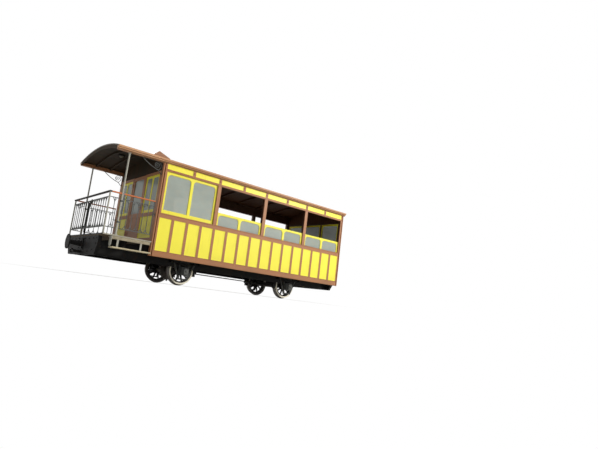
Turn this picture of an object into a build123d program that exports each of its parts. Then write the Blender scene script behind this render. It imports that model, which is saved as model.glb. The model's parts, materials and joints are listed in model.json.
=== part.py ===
from build123d import *
import math
import os

# All sizes are in millimetres. X runs along the car towards its closed end, the open
# platform is at -X, -Y is the near side and Z is up from the bottoms of the wheel flanges.

# body sides
half_width = 1470          # outside of the side walls from the centre line
body_x0 = -2823            # outside of the platform end wall
body_x1 = 4035             # outside of the closed end wall
panel_x0 = -2710           # left edge of the first lower panel
panel_pitch = 420
bay_panels = 4
bays = 4
batten_width = 82
post_width = 110
outer_depth = 30           # battens, rails and panels on the outside
pocket_depth = 80          # inside of the pocket that the sashes drop into
wall_depth = 100           # whole thickness of a side wall
panel_sink = 10            # how far the panels lie behind the battens
quirk = 7                  # depth of the grooves in the rails' mouldings
corner_bead = 38           # upright bead at each corner of the body
corner_gap = 27            # shadow gap beside that bead

# levels
sill_z = 650
panel_z0 = 804
floor_under = 950
floor_z = 1010
pocket_z = 1040
panel_z1 = 1652
waist_z = 1777
window_z = 2880
frieze_z0 = 2937
frieze_z1 = 3077

# roof
roof_overhang = 85         # roof edge beyond the side walls
roof_edge_z = 3170
roof_rise = 205
roof_thick = 30
edge_lip = 12              # upright lip of the cornice outside the roof shell
ceiling_thick = 10
rib_width = 44
rib_depth = 50
arch_thick = 25
arch_depth = 90

# running gear
axle_z = 400
tread_radius = 370
flange_radius = 400
tyre_inner = 316
tyre_y0 = 680
tyre_y1 = 815
front_axle_x = -1530
rear_axle_x = 2280
journal_radius = 50

# platform
platform_length = 1247
rail_z = 2015              # underside of the wooden handrails
roof_post_x = -3735
gate_end_x = -2872
floor_inset = 10           # edge of the platform floor behind the side walls
frame_inset = 220          # floor frame behind the edge of the platform floor
roof_front = 5             # roof edge beyond the platform
buffer_reach = (360, 315)  # buffer faces beyond the headstocks, platform end and closed end
seat_gap = 0.3             # running clearance of hinges, journals and seats

platform_x0 = body_x0 - platform_length
rail_y = half_width - (outer_depth + wall_depth) / 2
floor_edge = half_width - floor_inset
frame_half = floor_edge - frame_inset
roof_x0 = platform_x0 - roof_front
roof_x1 = body_x1 + arch_thick
roof_half = half_width + roof_overhang
roof_crown_z = roof_edge_z + roof_rise

os.makedirs("parts", exist_ok=True)

bay_pitch = panel_pitch * bay_panels
panel_end = panel_x0 + bay_pitch * bays - batten_width
overlap = (post_width - batten_width) / 2
roof_radius = (roof_half**2 + roof_rise**2) / (2 * roof_rise)
roof_centre_z = roof_crown_z - roof_radius


def block(x0, x1, y0, y1, z0, z1):
    """Adds a box between the given corners to the part being built."""
    boxes([(x0, x1, y0, y1, z0, z1)])


def boxes(rows, mode=Mode.ADD):
    """Adds boxes, each given by its corners, to the part being built in one go."""
    made = []
    for x0, x1, y0, y1, z0, z1 in rows:
        box = Box(x1 - x0, y1 - y0, z1 - z0, mode=Mode.PRIVATE)
        made.append(Pos((x0 + x1) / 2, (y0 + y1) / 2, (z0 + z1) / 2) * box)
    add(made, mode=mode)


def both(x0, x1, d0, d1, z0, z1):
    """Corners of two boxes at the given depths behind the outside of the side walls."""
    rows = []
    for side in (-1, 1):
        y0, y1 = sorted((side * (half_width - d0), side * (half_width - d1)))
        rows.append((x0, x1, y0, y1, z0, z1))
    return rows


def moulding(x0, x1, outline):
    """Adds the same rail to both side walls, from an outline of (depth, height) points."""
    for side in (-1, 1):
        with BuildSketch(Plane.YZ.offset(x0)) as profile:
            with BuildLine():
                Polyline([(side * (half_width - depth), z) for depth, z in outline], close=True)
            make_face()
        extrude(profile.sketch, amount=x1 - x0)


def light_outline(width, height, radius):
    """Outline of one window light with rounded upper corners, about its middle."""
    with BuildSketch() as outline:
        Rectangle(width, height)
        fillet(outline.vertices().group_by(Axis.Y)[-1], radius)
    return outline.sketch


def arc_z(radius, y):
    """Height of a roof arc of the given radius at the distance y from the middle."""
    return roof_centre_z + math.sqrt(radius**2 - y**2)


def band(x0, x1, outer, inner, half):
    """Adds an arched strip across the car, between two radii of the roof arc."""
    with BuildSketch(Plane.YZ.offset(x0)) as profile:
        with BuildLine():
            ThreePointArc((-half, arc_z(outer, half)), (0, arc_z(outer, 0)), (half, arc_z(outer, half)))
            Line((half, arc_z(outer, half)), (half, arc_z(inner, half)))
            ThreePointArc((half, arc_z(inner, half)), (0, arc_z(inner, 0)), (-half, arc_z(inner, half)))
            Line((-half, arc_z(inner, half)), (-half, arc_z(outer, half)))
        make_face()
    extrude(profile.sketch, amount=x1 - x0)


def save(part, label):
    """Writes one node."""
    part.label = label
    export_step(part, "parts/" + label + ".step")


# window openings of each bay, between the posts
bay_ranges = []
for bay in range(bays):
    left = panel_x0 + bay * bay_pitch + overlap
    bay_ranges.append((left, left + bay_pitch - post_width))

# side walls: moulded sill, waist rail and header, and the rail that the sashes drop onto
corner_cuts = []
for x0, x1 in (
    (body_x0 - 1, body_x0 + corner_bead + corner_gap),
    (body_x1 - corner_bead - corner_gap, body_x1 + 1),
):
    corner_cuts += both(x0, x1, -1, outer_depth, sill_z - 1, frieze_z1 + 1)
rows = []
for x0, x1 in bay_ranges:
    rows += both(x0, x1, outer_depth, wall_depth, floor_under + 35, pocket_z)
with BuildPart() as rails:
    boxes(rows)
    moulding(body_x0, body_x1, (
        (wall_depth, sill_z),
        (quirk, sill_z),
        (0, sill_z + 10),
        (0, panel_z0 - 26),
        (quirk, panel_z0 - 22),
        (quirk, panel_z0 - 14),
        (0, panel_z0 - 10),
        (0, panel_z0),
        (wall_depth, panel_z0),
    ))
    moulding(body_x0, body_x1, (
        (outer_depth, panel_z1),
        (0, panel_z1),
        (0, waist_z - 38),
        (quirk, waist_z - 34),
        (quirk, waist_z - 27),
        (0, waist_z - 22),
        (0, waist_z - 10),
        (quirk, waist_z),
        (outer_depth, waist_z),
    ))
    moulding(body_x0, body_x1, (
        (wall_depth, window_z),
        (quirk, window_z),
        (0, window_z + 6),
        (0, window_z + 26),
        (quirk, window_z + 30),
        (quirk, window_z + 37),
        (0, window_z + 41),
        (0, frieze_z0),
        (wall_depth, frieze_z0),
    ))
    boxes(corner_cuts, Mode.SUBTRACT)
save(rails.part, "side_rails")

# upright beads with a round nose at the four corners
bead_round = 14
with BuildPart() as beads:
    for side in (-1, 1):
        for middle in (body_x0 + corner_bead / 2, body_x1 - corner_bead / 2):
            with BuildSketch(Plane.XY.offset(sill_z)) as profile:
                with Locations((middle, side * (half_width - outer_depth / 2))):
                    Rectangle(corner_bead, outer_depth)
                fillet(profile.vertices().group_by(Axis.Y)[0 if side < 0 else -1], bead_round)
            extrude(profile.sketch, amount=frieze_z1 - sill_z)
save(beads.part, "corner_beads")

# posts, the full depth behind the battens
post_spans = [(body_x0, bay_ranges[0][0])]
for bay in range(bays - 1):
    post_spans.append((bay_ranges[bay][1], bay_ranges[bay + 1][0]))
post_spans.append((bay_ranges[-1][1], body_x1))
rows = []
for x0, x1 in post_spans:
    rows += both(x0, x1, outer_depth, wall_depth, panel_z0, window_z)
with BuildPart() as posts:
    boxes(rows)
save(posts.part, "posts")

# upright battens: narrow ones between the lower panels, wide ones beside the windows
rows = []
for index in range(bays * bay_panels + 1):
    right = panel_x0 + index * panel_pitch
    left = right - batten_width
    if index == 0:
        left = body_x0
    if index == bays * bay_panels:
        right = body_x1
    rows += both(left, right, 0, outer_depth, panel_z0, panel_z1)
for x0, x1 in post_spans:
    rows += both(x0, x1, 0, outer_depth, waist_z, window_z)
for index in range(2 * bays + 1):
    right = panel_x0 + index * bay_pitch / 2
    left = right - batten_width
    if index == 0:
        left = body_x0
    if index == 2 * bays:
        right = body_x1
    rows += both(left, right, 0, outer_depth, frieze_z0, frieze_z1)
boss = 52
boss_out = 12
with BuildPart() as battens:
    boxes(rows)
    boxes(corner_cuts, Mode.SUBTRACT)
    for side in (-1, 1):
        with BuildSketch(Plane.XZ.offset(-side * half_width)) as squares:
            for index in range(1, 2 * bays):
                with Locations((panel_x0 + index * bay_pitch / 2 - batten_width / 2, (frieze_z0 + frieze_z1) / 2)):
                    Rectangle(boss, boss)
        extrude(squares.sketch, amount=-side * boss_out, taper=45)
save(battens.part, "battens")

# yellow panels: the lower ones and those of the frieze
rows = []
for index in range(bays * bay_panels):
    left = panel_x0 + index * panel_pitch
    rows += both(left, left + panel_pitch - batten_width, panel_sink, outer_depth, panel_z0, panel_z1)
for index in range(2 * bays):
    left = panel_x0 + index * bay_pitch / 2
    rows += both(left, left + bay_pitch / 2 - batten_width, panel_sink, outer_depth, frieze_z0, frieze_z1)
with BuildPart() as panels:
    boxes(rows)
save(panels.part, "side_panels")

rows = []
for x0, x1 in bay_ranges:
    rows += both(x0, x1, pocket_depth, wall_depth, pocket_z, waist_z)
with BuildPart() as lining:
    boxes(rows)
save(lining.part, "wall_lining")

# long beams behind the frieze, which carry the roof and run out over the platform
rows = []
rows += both(body_x0, body_x1, outer_depth, wall_depth, frieze_z0, roof_edge_z - 5)
rows += both(roof_x0 + arch_thick, body_x0, outer_depth, wall_depth, frieze_z1, roof_edge_z - 5)
with BuildPart() as cantrails:
    boxes(rows)
save(cantrails.part, "cantrails")

# two-light drop sashes: the first bay is shut, the others stand lowered in the pocket
sash_height = window_z - waist_z + 2
sash_depths = (36, 74)
stile = 55
mullion = 73
sash_top = 57
sash_foot = 90
glass_radius = 95
glass_thick = 5
sash_drops = (0, 735, 735, 735)
light_width = (bay_pitch - post_width - 2 * stile - mullion) / 2
light_height = sash_height - sash_foot - sash_top
light_shift = (light_width + mullion) / 2
light_rise = (sash_foot - sash_top) / 2
side_light = light_outline(light_width, light_height, glass_radius)
with BuildPart() as sashes:
    for (x0, x1), drop in zip(bay_ranges, sash_drops):
        middle = (x0 + x1) / 2
        centre_z = window_z - drop - sash_height / 2
        for side in (-1, 1):
            with BuildSketch(Plane.XZ.offset(-side * (half_width - sash_depths[0]))):
                with Locations((middle, centre_z)):
                    Rectangle(x1 - x0, sash_height)
                for shift in (-light_shift, light_shift):
                    add(Pos(middle + shift, centre_z + light_rise) * side_light, mode=Mode.SUBTRACT)
            extrude(amount=side * (sash_depths[1] - sash_depths[0]))
save(sashes.part, "sashes")

# panes in the sashes, the same outline as the holes with a little clearance
side_glass = light_outline(light_width - 0.4, light_height - 0.4, glass_radius)
with BuildPart() as panes:
    for (x0, x1), drop in zip(bay_ranges, sash_drops):
        middle = (x0 + x1) / 2
        centre_z = window_z - drop - sash_height / 2
        depth = (sash_depths[0] + sash_depths[1] - glass_thick) / 2
        for side in (-1, 1):
            with BuildSketch(Plane.XZ.offset(-side * (half_width - depth))):
                for shift in (-light_shift, light_shift):
                    add(Pos(middle + shift, centre_z + light_rise) * side_glass)
            extrude(amount=side * glass_thick)
save(panes.part, "sash_panes")

# floors
rows = []
rows.append((body_x0, body_x1, -half_width + wall_depth, half_width - wall_depth, floor_under, floor_z))
with BuildPart() as cabin_floor:
    boxes(rows)
save(cabin_floor.part, "cabin_floor")

floor_board = 30
edging = 6
rows = []
rows.append((platform_x0 + 20, body_x0, -floor_edge, floor_edge, floor_z - floor_board, floor_z))
rows.append((platform_x0 + 20, body_x0, -frame_half, frame_half, floor_under, floor_z - floor_board))
with BuildPart() as platform_floor:
    boxes(rows)
save(platform_floor.part, "platform_floor")

# pale iron strip round the edge of the platform floor
rows = []
rows.append((platform_x0 + 20 - edging, platform_x0 + 20, -floor_edge, floor_edge, floor_z - floor_board, floor_z))
for side in (-1, 1):
    y0, y1 = sorted((side * floor_edge, side * (floor_edge + edging)))
    rows.append((platform_x0 + 20 - edging, body_x0, y0, y1, floor_z - floor_board, floor_z))
with BuildPart() as floor_edging:
    boxes(rows)
save(floor_edging.part, "floor_edging")

# end walls: frames with panels and panes, the platform one parted by the doorway
end_thick = 60
door_half = 410
inner_y = half_width - wall_depth
end_x = (body_x0, body_x1 - end_thick)
end_stile = 70
end_panel_z0 = 1110
end_panel_z1 = 1690
end_light_z0 = 1790
end_light_z1 = 2800
front_bays = ((-inner_y, -door_half), (door_half, inner_y))
front_lights = (
    (-inner_y + end_stile, -door_half - end_stile),
    (door_half + end_stile, inner_y - end_stile),
)
rear_post = 60
rear_split = 430
rear_lights = (
    (-inner_y + end_stile, -rear_split - rear_post),
    (-rear_split, rear_split),
    (rear_split + rear_post, inner_y - end_stile),
)
holes = ((end_panel_z0, end_panel_z1), (end_light_z0, end_light_z1))
with BuildPart() as end_walls:
    for y0, y1 in front_bays:
        block(end_x[0], end_x[0] + end_thick, y0, y1, floor_z, window_z)
    for y0, y1 in front_lights:
        for z0, z1 in holes:
            with Locations((end_x[0] + end_thick / 2, (y0 + y1) / 2, (z0 + z1) / 2)):
                Box(end_thick, y1 - y0, z1 - z0, mode=Mode.SUBTRACT)
    block(end_x[1], end_x[1] + end_thick, -inner_y, inner_y, floor_z, window_z)
    for y0, y1 in rear_lights:
        for z0, z1 in holes:
            with Locations((end_x[1] + end_thick / 2, (y0 + y1) / 2, (z0 + z1) / 2)):
                Box(end_thick, y1 - y0, z1 - z0, mode=Mode.SUBTRACT)
save(end_walls.part, "end_walls")

rows = []
for y0, y1 in front_lights:
    rows.append((end_x[0] + 15, end_x[0] + 40, y0, y1, end_panel_z0, end_panel_z1))
for y0, y1 in rear_lights:
    rows.append((end_x[1] + 20, end_x[1] + 45, y0, y1, end_panel_z0, end_panel_z1))
with BuildPart() as end_panels:
    boxes(rows)
save(end_panels.part, "end_panels")

# fixed sashes in the end walls, in pairs beside the doorway, and their panes
end_frame = 48
end_foot = 70
end_radius = 70
frame_depths = (12, 44)
end_height = end_light_z1 - end_light_z0
end_middle = (end_light_z0 + end_light_z1) / 2 + (end_foot - end_frame) / 2
end_windows = (
    (end_x[0], front_lights, 2),
    (end_x[1], rear_lights, 1),
)
with BuildPart() as end_sashes:
    for wall_x, lights, parts in end_windows:
        for y0, y1 in lights:
            span = (y1 - y0 - (parts + 1) * end_frame) / parts
            hole = light_outline(span, end_height - end_frame - end_foot, end_radius)
            with BuildSketch(Plane.YZ.offset(wall_x + frame_depths[0])):
                with Locations(((y0 + y1) / 2, (end_light_z0 + end_light_z1) / 2)):
                    Rectangle(y1 - y0, end_height)
                for index in range(parts):
                    y = y0 + end_frame + span / 2 + index * (span + end_frame)
                    add(Pos(y, end_middle) * hole, mode=Mode.SUBTRACT)
            extrude(amount=frame_depths[1] - frame_depths[0])
save(end_sashes.part, "end_sashes")

with BuildPart() as end_panes:
    for wall_x, lights, parts in end_windows:
        for y0, y1 in lights:
            span = (y1 - y0 - (parts + 1) * end_frame) / parts
            glass = light_outline(span - 0.4, end_height - end_frame - end_foot - 0.4, end_radius)
            with BuildSketch(Plane.YZ.offset(wall_x + (sum(frame_depths) - glass_thick) / 2)):
                for index in range(parts):
                    y = y0 + end_frame + span / 2 + index * (span + end_frame)
                    add(Pos(y, end_middle) * glass)
            extrude(amount=glass_thick)
save(end_panes.part, "end_panes")

# gable boards between the end walls and the roof
with BuildPart() as gables:
    for x0 in end_x:
        with BuildSketch(Plane.YZ.offset(x0)):
            with BuildLine():
                inside = roof_radius - roof_thick - 0.3
                ThreePointArc(
                    (-inner_y, arc_z(inside, inner_y)), (0, arc_z(inside, 0)), (inner_y, arc_z(inside, inner_y))
                )
                Polyline(
                    (inner_y, arc_z(inside, inner_y)),
                    (inner_y, window_z),
                    (-inner_y, window_z),
                    (-inner_y, arc_z(inside, inner_y)),
                )
            make_face()
        extrude(amount=end_thick)
save(gables.part, "gables")

# roof shell, ceiling boards, ribs below them and an arch at each end
shell_half = roof_half - edge_lip
shell_under = roof_radius - roof_thick
with BuildPart() as roof:
    band(roof_x0, roof_x1, roof_radius, shell_under, shell_half)
save(roof.part, "roof")

ceiling_under = shell_under - ceiling_thick
with BuildPart() as ceiling:
    band(roof_x0 + arch_thick, body_x0, shell_under, ceiling_under, inner_y)
    band(end_x[0] + end_thick, end_x[1], shell_under, ceiling_under, inner_y)
save(ceiling.part, "ceiling")

rib_x = []
for share in (1, 2):
    rib_x.append(roof_x0 + share * (body_x0 - roof_x0) / 3)
for index in range(1, 2 * bays):
    rib_x.append(panel_x0 - batten_width / 2 + index * bay_pitch / 2)
with BuildPart() as ribs:
    for x in rib_x:
        band(x - rib_width / 2, x + rib_width / 2, ceiling_under, ceiling_under - rib_depth, inner_y)
    for x0 in (roof_x0, roof_x1 - arch_thick):
        band(x0, x0 + arch_thick, shell_under, shell_under - arch_depth, half_width - outer_depth)
save(ribs.part, "roof_arches")

# moulded cornices with a lip outside the roof shell
fascia = roof_overhang - 5
with BuildPart() as cornices:
    for side in (-1, 1):
        with BuildSketch(Plane.YZ.offset(roof_x0)) as profile:
            with BuildLine():
                Polyline(
                    (side * (half_width + 46), frieze_z1 + 26),
                    (side * (half_width + 46), frieze_z1 + 32),
                    (side * (half_width + 54), frieze_z1 + 32),
                    (side * (half_width + 54), frieze_z1 + 38),
                )
                ThreePointArc(
                    (side * (half_width + 54), frieze_z1 + 38),
                    (side * (half_width + 62), frieze_z1 + 48),
                    (side * (half_width + fascia), frieze_z1 + 53),
                )
                Polyline(
                    (side * (half_width + fascia), frieze_z1 + 53),
                    (side * roof_half, frieze_z1 + 53),
                    (side * roof_half, arc_z(roof_radius, shell_half) + 2),
                    (side * shell_half, arc_z(roof_radius, shell_half) + 2),
                    (side * shell_half, arc_z(shell_under, shell_half)),
                    (side * (half_width - outer_depth), arc_z(shell_under, half_width - outer_depth)),
                    (side * (half_width - outer_depth), frieze_z1),
                    (side * (half_width + 24), frieze_z1),
                    (side * (half_width + 24), frieze_z1 + 8),
                )
                ThreePointArc(
                    (side * (half_width + 24), frieze_z1 + 8),
                    (side * (half_width + 38), frieze_z1 + 14),
                    (side * (half_width + 46), frieze_z1 + 26),
                )
            make_face()
        extrude(profile.sketch, amount=roof_x1 - roof_x0)
save(cornices.part, "cornices")

# square ventilator with a pyramid cap on the roof, and the lamp under the platform roof
vent_x = body_x0 + 441
vent_half = 250
vent_neck = 150
vent_eaves_z = roof_crown_z + 177
vent_cap = 215
with BuildPart() as ventilator:
    block(vent_x - vent_neck, vent_x + vent_neck, -vent_neck, vent_neck, arc_z(roof_radius, 0) + 0.2, vent_eaves_z)
    with BuildSketch(Plane.XY.offset(vent_eaves_z)):
        with Locations((vent_x, 0)):
            Rectangle(2 * vent_half, 2 * vent_half)
    extrude(amount=18)
    with BuildSketch(Plane.XY.offset(vent_eaves_z + 18)):
        with Locations((vent_x, 0)):
            Rectangle(2 * vent_half, 2 * vent_half)
    slope = math.degrees(math.atan((vent_half - 12) / (vent_cap - 18)))
    extrude(amount=vent_cap - 18, taper=slope)
save(ventilator.part, "roof_ventilator")

lamp_x = (roof_x0 + body_x0) / 2
lamp_radius = 95
lamp_base = 30
lamp_bowl = 70
lamp_top = arc_z(ceiling_under, lamp_radius) - 0.1
with BuildPart() as lamp:
    with Locations((lamp_x, 0, lamp_top - lamp_base / 2)):
        Cylinder(lamp_radius, lamp_base)
    with Locations((lamp_x, 0, lamp_top - lamp_base - lamp_bowl / 2)):
        Cylinder(lamp_radius - 25, lamp_bowl)
save(lamp.part, "platform_lamp")

# benches: back to back at the posts, single at the ends
seat_z = 1440
seat_depth = 420
back_z = 1930
aisle = 300
bench_wall = inner_y - 5
bench_rows = (
    # back board x, faces -X, faces +X
    (body_x0 + end_thick + 18, False, True),
    (panel_x0 + bay_pitch - batten_width / 2, True, True),
    (panel_x0 + 2 * bay_pitch - batten_width / 2, True, True),
    (panel_x0 + 3 * bay_pitch - batten_width / 2, True, True),
    (body_x1 - end_thick - 18, True, False),
)
seat_thick = 25
seat_slats = 4
slat_gap = 12
back_half = 15
leg_depth = 390
leg_width = 35
leg_places = (aisle + 25, bench_wall - 40)
slat = (seat_depth - (seat_slats - 1) * slat_gap) / seat_slats
rows = []
for back_x, faces_left, faces_right in bench_rows:
    for side in (-1, 1):
        y0, y1 = sorted((side * aisle, side * bench_wall))
        for index in range(seat_slats):
            near = back_half + index * (slat + slat_gap)
            if faces_left:
                rows.append((back_x - near - slat, back_x - near, y0, y1, seat_z - seat_thick, seat_z))
            if faces_right:
                rows.append((back_x + near, back_x + near + slat, y0, y1, seat_z - seat_thick, seat_z))
with BuildPart() as seats:
    boxes(rows)
save(seats.part, "bench_seats")

# backs: three boards on two standards
back_boards = ((70, 190), (215, 335), (360, 490))
rows = []
for back_x, faces_left, faces_right in bench_rows:
    for side in (-1, 1):
        y0, y1 = sorted((side * aisle, side * bench_wall))
        for low, high in back_boards:
            rows.append((back_x - back_half, back_x + back_half, y0, y1, seat_z + low, seat_z + high))
        for place in leg_places:
            y0, y1 = sorted((side * place, side * (place + leg_width)))
            rows.append((back_x - back_half, back_x + back_half, y0, y1, floor_z, seat_z + back_boards[-1][1]))
with BuildPart() as backs:
    boxes(rows)
save(backs.part, "bench_backs")

rows = []
for back_x, faces_left, faces_right in bench_rows:
    for side in (-1, 1):
        for place in leg_places:
            y0, y1 = sorted((side * place, side * (place + leg_width)))
            for turn, faces in ((-1, faces_left), (1, faces_right)):
                if faces:
                    x0, x1 = sorted((back_x + turn * back_half, back_x + turn * (back_half + leg_depth)))
                    rows.append((x0, x1, y0, y1, seat_z - seat_thick - 60, seat_z - seat_thick))
                    x0, x1 = sorted((back_x + turn * (back_half + leg_depth - 60), x1 if turn > 0 else x0))
                    rows.append((x0, x1, y0, y1, floor_z, seat_z - seat_thick - 60))
with BuildPart() as bench_legs:
    boxes(rows)
save(bench_legs.part, "bench_legs")

# underframe
sole_y0 = 860
sole_y1 = 940
sole_z0 = 480
sole_z1 = 700
web = 12
headstock_thick = 90
headstock_half = frame_half
sole_x0 = platform_x0 + headstock_thick
sole_x1 = body_x1 - 10
with BuildPart() as sole_bars:
    for side in (-1, 1):
        with BuildSketch(Plane.YZ.offset(sole_x0)):
            with BuildLine():
                Polyline(
                    (side * sole_y1, sole_z0),
                    (side * sole_y0, sole_z0),
                    (side * sole_y0, sole_z0 + web),
                    (side * (sole_y1 - web), sole_z0 + web),
                    (side * (sole_y1 - web), sole_z1 - web),
                    (side * sole_y0, sole_z1 - web),
                    (side * sole_y0, sole_z1),
                    (side * sole_y1, sole_z1),
                    close=True,
                )
            make_face()
        extrude(amount=sole_x1 - sole_x0)
save(sole_bars.part, "sole_bars")

headstock_drop = 150       # how far the sole bars' outsides lie inside the full depth
with BuildPart() as headstocks:
    for x0 in (platform_x0, sole_x1):
        with BuildSketch(Plane.YZ.offset(x0)):
            with BuildLine():
                Polyline(
                    (-headstock_half, floor_under),
                    (headstock_half, floor_under),
                    (headstock_half, sole_z1 + 20),
                    (sole_y1 + headstock_drop, sole_z0),
                    (-sole_y1 - headstock_drop, sole_z0),
                    (-headstock_half, sole_z1 + 20),
                    close=True,
                )
            make_face()
        extrude(amount=headstock_thick)
save(headstocks.part, "headstocks")

brake_gap = 8
hanger_reach = 90
bearer_x = (
    platform_x0 + 670,
    body_x0 + 43,
    front_axle_x - 770,
    front_axle_x + tread_radius + brake_gap + hanger_reach,
    (front_axle_x + rear_axle_x) / 2 - 500,
    (front_axle_x + rear_axle_x) / 2 + 500,
    rear_axle_x - tread_radius - brake_gap - hanger_reach,
    rear_axle_x + 770,
    body_x1 - 55,
)
rows = []
for x in bearer_x:
    reach = inner_y if x > body_x0 else frame_half
    rows.append((x - 40, x + 40, -reach, reach, sole_z1, floor_under))
with BuildPart() as bearers:
    boxes(rows)
save(bearers.part, "cross_bearers")

# axle guards, axle boxes and leaf springs
guard_thick = 18
guard_y = sole_y1
guard_top = sole_z1
slot_half = 110
horn = 52
with BuildPart() as guards:
    for axle_x in (front_axle_x, rear_axle_x):
        for side in (-1, 1):
            with BuildSketch(Plane.XZ.offset(-side * guard_y)):
                with BuildLine():
                    Polyline(
                        (axle_x - 360, guard_top),
                        (axle_x + 360, guard_top),
                        (axle_x + 340, guard_top - 90),
                        (axle_x + slot_half + horn, axle_z - 200),
                        (axle_x + slot_half + horn, axle_z - 240),
                        (axle_x - slot_half - horn, axle_z - 240),
                        (axle_x - slot_half - horn, axle_z - 200),
                        (axle_x - 340, guard_top - 90),
                        close=True,
                    )
                make_face()
                with Locations((axle_x, axle_z - 10)):
                    Rectangle(2 * slot_half, 380, mode=Mode.SUBTRACT)
                for turn in (-1, 1):
                    with BuildLine():
                        Polyline(
                            (axle_x + turn * (slot_half + horn), guard_top - 55),
                            (axle_x + turn * 300, guard_top - 55),
                            (axle_x + turn * 285, guard_top - 105),
                            (axle_x + turn * (slot_half + horn), axle_z - 85),
                            close=True,
                        )
                    make_face(mode=Mode.SUBTRACT)
            extrude(amount=-side * guard_thick)
save(guards.part, "axle_guards")

box_half = 100
box_height = 230
box_y0 = guard_y + seat_gap
box_y1 = guard_y + 175
box_shoulder = 95          # depth of the straight part, before the tapered cover
with BuildPart() as axle_boxes:
    for axle_x in (front_axle_x, rear_axle_x):
        for side in (-1, 1):
            with BuildSketch(Plane.XZ.offset(-side * box_y0)) as foot:
                with Locations((axle_x, axle_z)):
                    Rectangle(2 * box_half, box_height)
            extrude(foot.sketch, amount=-side * box_shoulder)
            with BuildSketch(Plane.XZ.offset(-side * (box_y0 + box_shoulder))) as cover:
                with Locations((axle_x, axle_z)):
                    Rectangle(2 * box_half - 24, box_height - 24)
            extrude(cover.sketch, amount=-side * (box_y1 - box_y0 - box_shoulder), taper=14)
            with Locations((axle_x, side * (box_y0 + (box_y1 - 30 - box_y0) / 2), axle_z)):
                Cylinder(journal_radius + seat_gap, box_y1 - 30 - box_y0, rotation=(90, 0, 0), mode=Mode.SUBTRACT)
save(axle_boxes.part, "axle_boxes")

leaf_thick = 9
leaf_count = 6
leaf_half = 420            # half of the longest leaf
leaf_step = 62             # how much shorter the next leaf is at each end
leaf_rise = 45
leaf_width = 75
spring_y = guard_y + 30
spring_foot = axle_z + box_height / 2
buckle_height = 96
with BuildPart() as spring:
    with BuildSketch(Plane.XZ):
        for leaf in range(leaf_count):
            half = leaf_half - leaf * leaf_step
            z = spring_foot + 30 + (leaf_count - 1 - leaf) * leaf_thick
            rise = leaf_rise * (half / leaf_half) ** 2
            with BuildLine():
                ThreePointArc((-half, z + rise), (0, z), (half, z + rise))
                Line((half, z + rise), (half, z + rise + leaf_thick))
                ThreePointArc((half, z + rise + leaf_thick), (0, z + leaf_thick), (-half, z + rise + leaf_thick))
                Line((-half, z + rise + leaf_thick), (-half, z + rise))
            make_face()
    extrude(amount=leaf_width / 2, both=True)
    with Locations((0, 0, spring_foot + buckle_height / 2)):
        Box(90, leaf_width + 20, buckle_height)
with BuildPart() as springs:
    made = []
    for axle_x in (front_axle_x, rear_axle_x):
        for side in (-1, 1):
            place = Location((axle_x, side * (spring_y + leaf_width / 2), 0))
            made.append(spring.part.moved(place))
    add(made)
save(springs.part, "leaf_springs")

hanger_z = spring_foot + 30 + (leaf_count - 1) * leaf_thick + leaf_rise - 20
rows = []
for axle_x in (front_axle_x, rear_axle_x):
    for side in (-1, 1):
        for end in (-1, 1):
            x = axle_x + end * (leaf_half + 21 + seat_gap)
            y0, y1 = sorted((side * guard_y, side * (spring_y + 80)))
            rows.append((x - 21, x + 21, y0, y1, hanger_z - 20, hanger_z + 60))
with BuildPart() as spring_shoes:
    boxes(rows)
save(spring_shoes.part, "spring_shoes")

# wheelsets
wheelsets = (("front", front_axle_x), ("rear", rear_axle_x))
spokes = 10
for name, axle_x in wheelsets:
    with BuildPart(Plane.XZ) as axle:
        with Locations((axle_x, axle_z, 0)):
            Cylinder(68, 2 * tyre_y1 - 30)
            Cylinder(journal_radius, 2 * (box_y1 - 40))
            if name == "front":
                Cylinder(120, 150)
    save(axle.part, "axle_" + name)

    with BuildPart() as centres:
        for side in (-1, 1):
            plane = Plane.XZ.offset(-side * (tyre_y0 + 15))
            with BuildSketch(plane):
                with Locations((axle_x, axle_z)):
                    Circle(tyre_inner - 0.3)
                    Circle(tyre_inner - 32, mode=Mode.SUBTRACT)
            extrude(amount=-side * 100)
            with BuildSketch(Plane.XZ.offset(-side * (tyre_y0 + 50))):
                with Locations((axle_x, axle_z)):
                    with PolarLocations(170, spokes):
                        Trapezoid(54, 250, 87.5, rotation=-90)
            extrude(amount=-side * 32)
            with BuildSketch(Plane.XZ.offset(-side * (tyre_y0 - 5))):
                with Locations((axle_x, axle_z)):
                    Circle(115)
            extrude(amount=-side * 145)
            with BuildSketch(Plane.XZ.offset(-side * (tyre_y0 - 20))):
                with Locations((axle_x, axle_z)):
                    Circle(68.3)
            extrude(amount=-side * 200, mode=Mode.SUBTRACT)
    save(centres.part, "wheel_centres_" + name)

    with BuildPart() as tyres:
        for side in (-1, 1):
            with BuildSketch(Plane.XY):
                with BuildLine():
                    Polyline(
                        (tyre_inner, side * tyre_y0),
                        (flange_radius - 5, side * tyre_y0),
                        (flange_radius, side * (tyre_y0 + 11)),
                        (tread_radius + 2, side * (tyre_y0 + 32)),
                        (tread_radius - 5, side * tyre_y1),
                        (tyre_inner, side * tyre_y1),
                        close=True,
                    )
                make_face()
            revolve(axis=Axis.Y)
    moved = tyres.part.moved(Location((axle_x, 0, axle_z)))
    save(moved, "tyres_" + name)

# toothed brake wheel in the middle of the front axle
teeth = 20
gear_tip = 318
with BuildPart() as pinion:
    with BuildSketch(Plane.XZ.offset(-45)):
        with Locations((front_axle_x, axle_z)):
            Circle(gear_tip - 55)
            with PolarLocations(gear_tip - 40, teeth):
                Trapezoid(42, 70, 74, rotation=-90)
            Circle(120.3, mode=Mode.SUBTRACT)
    extrude(amount=90)
save(pinion.part, "brake_pinion")

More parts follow.
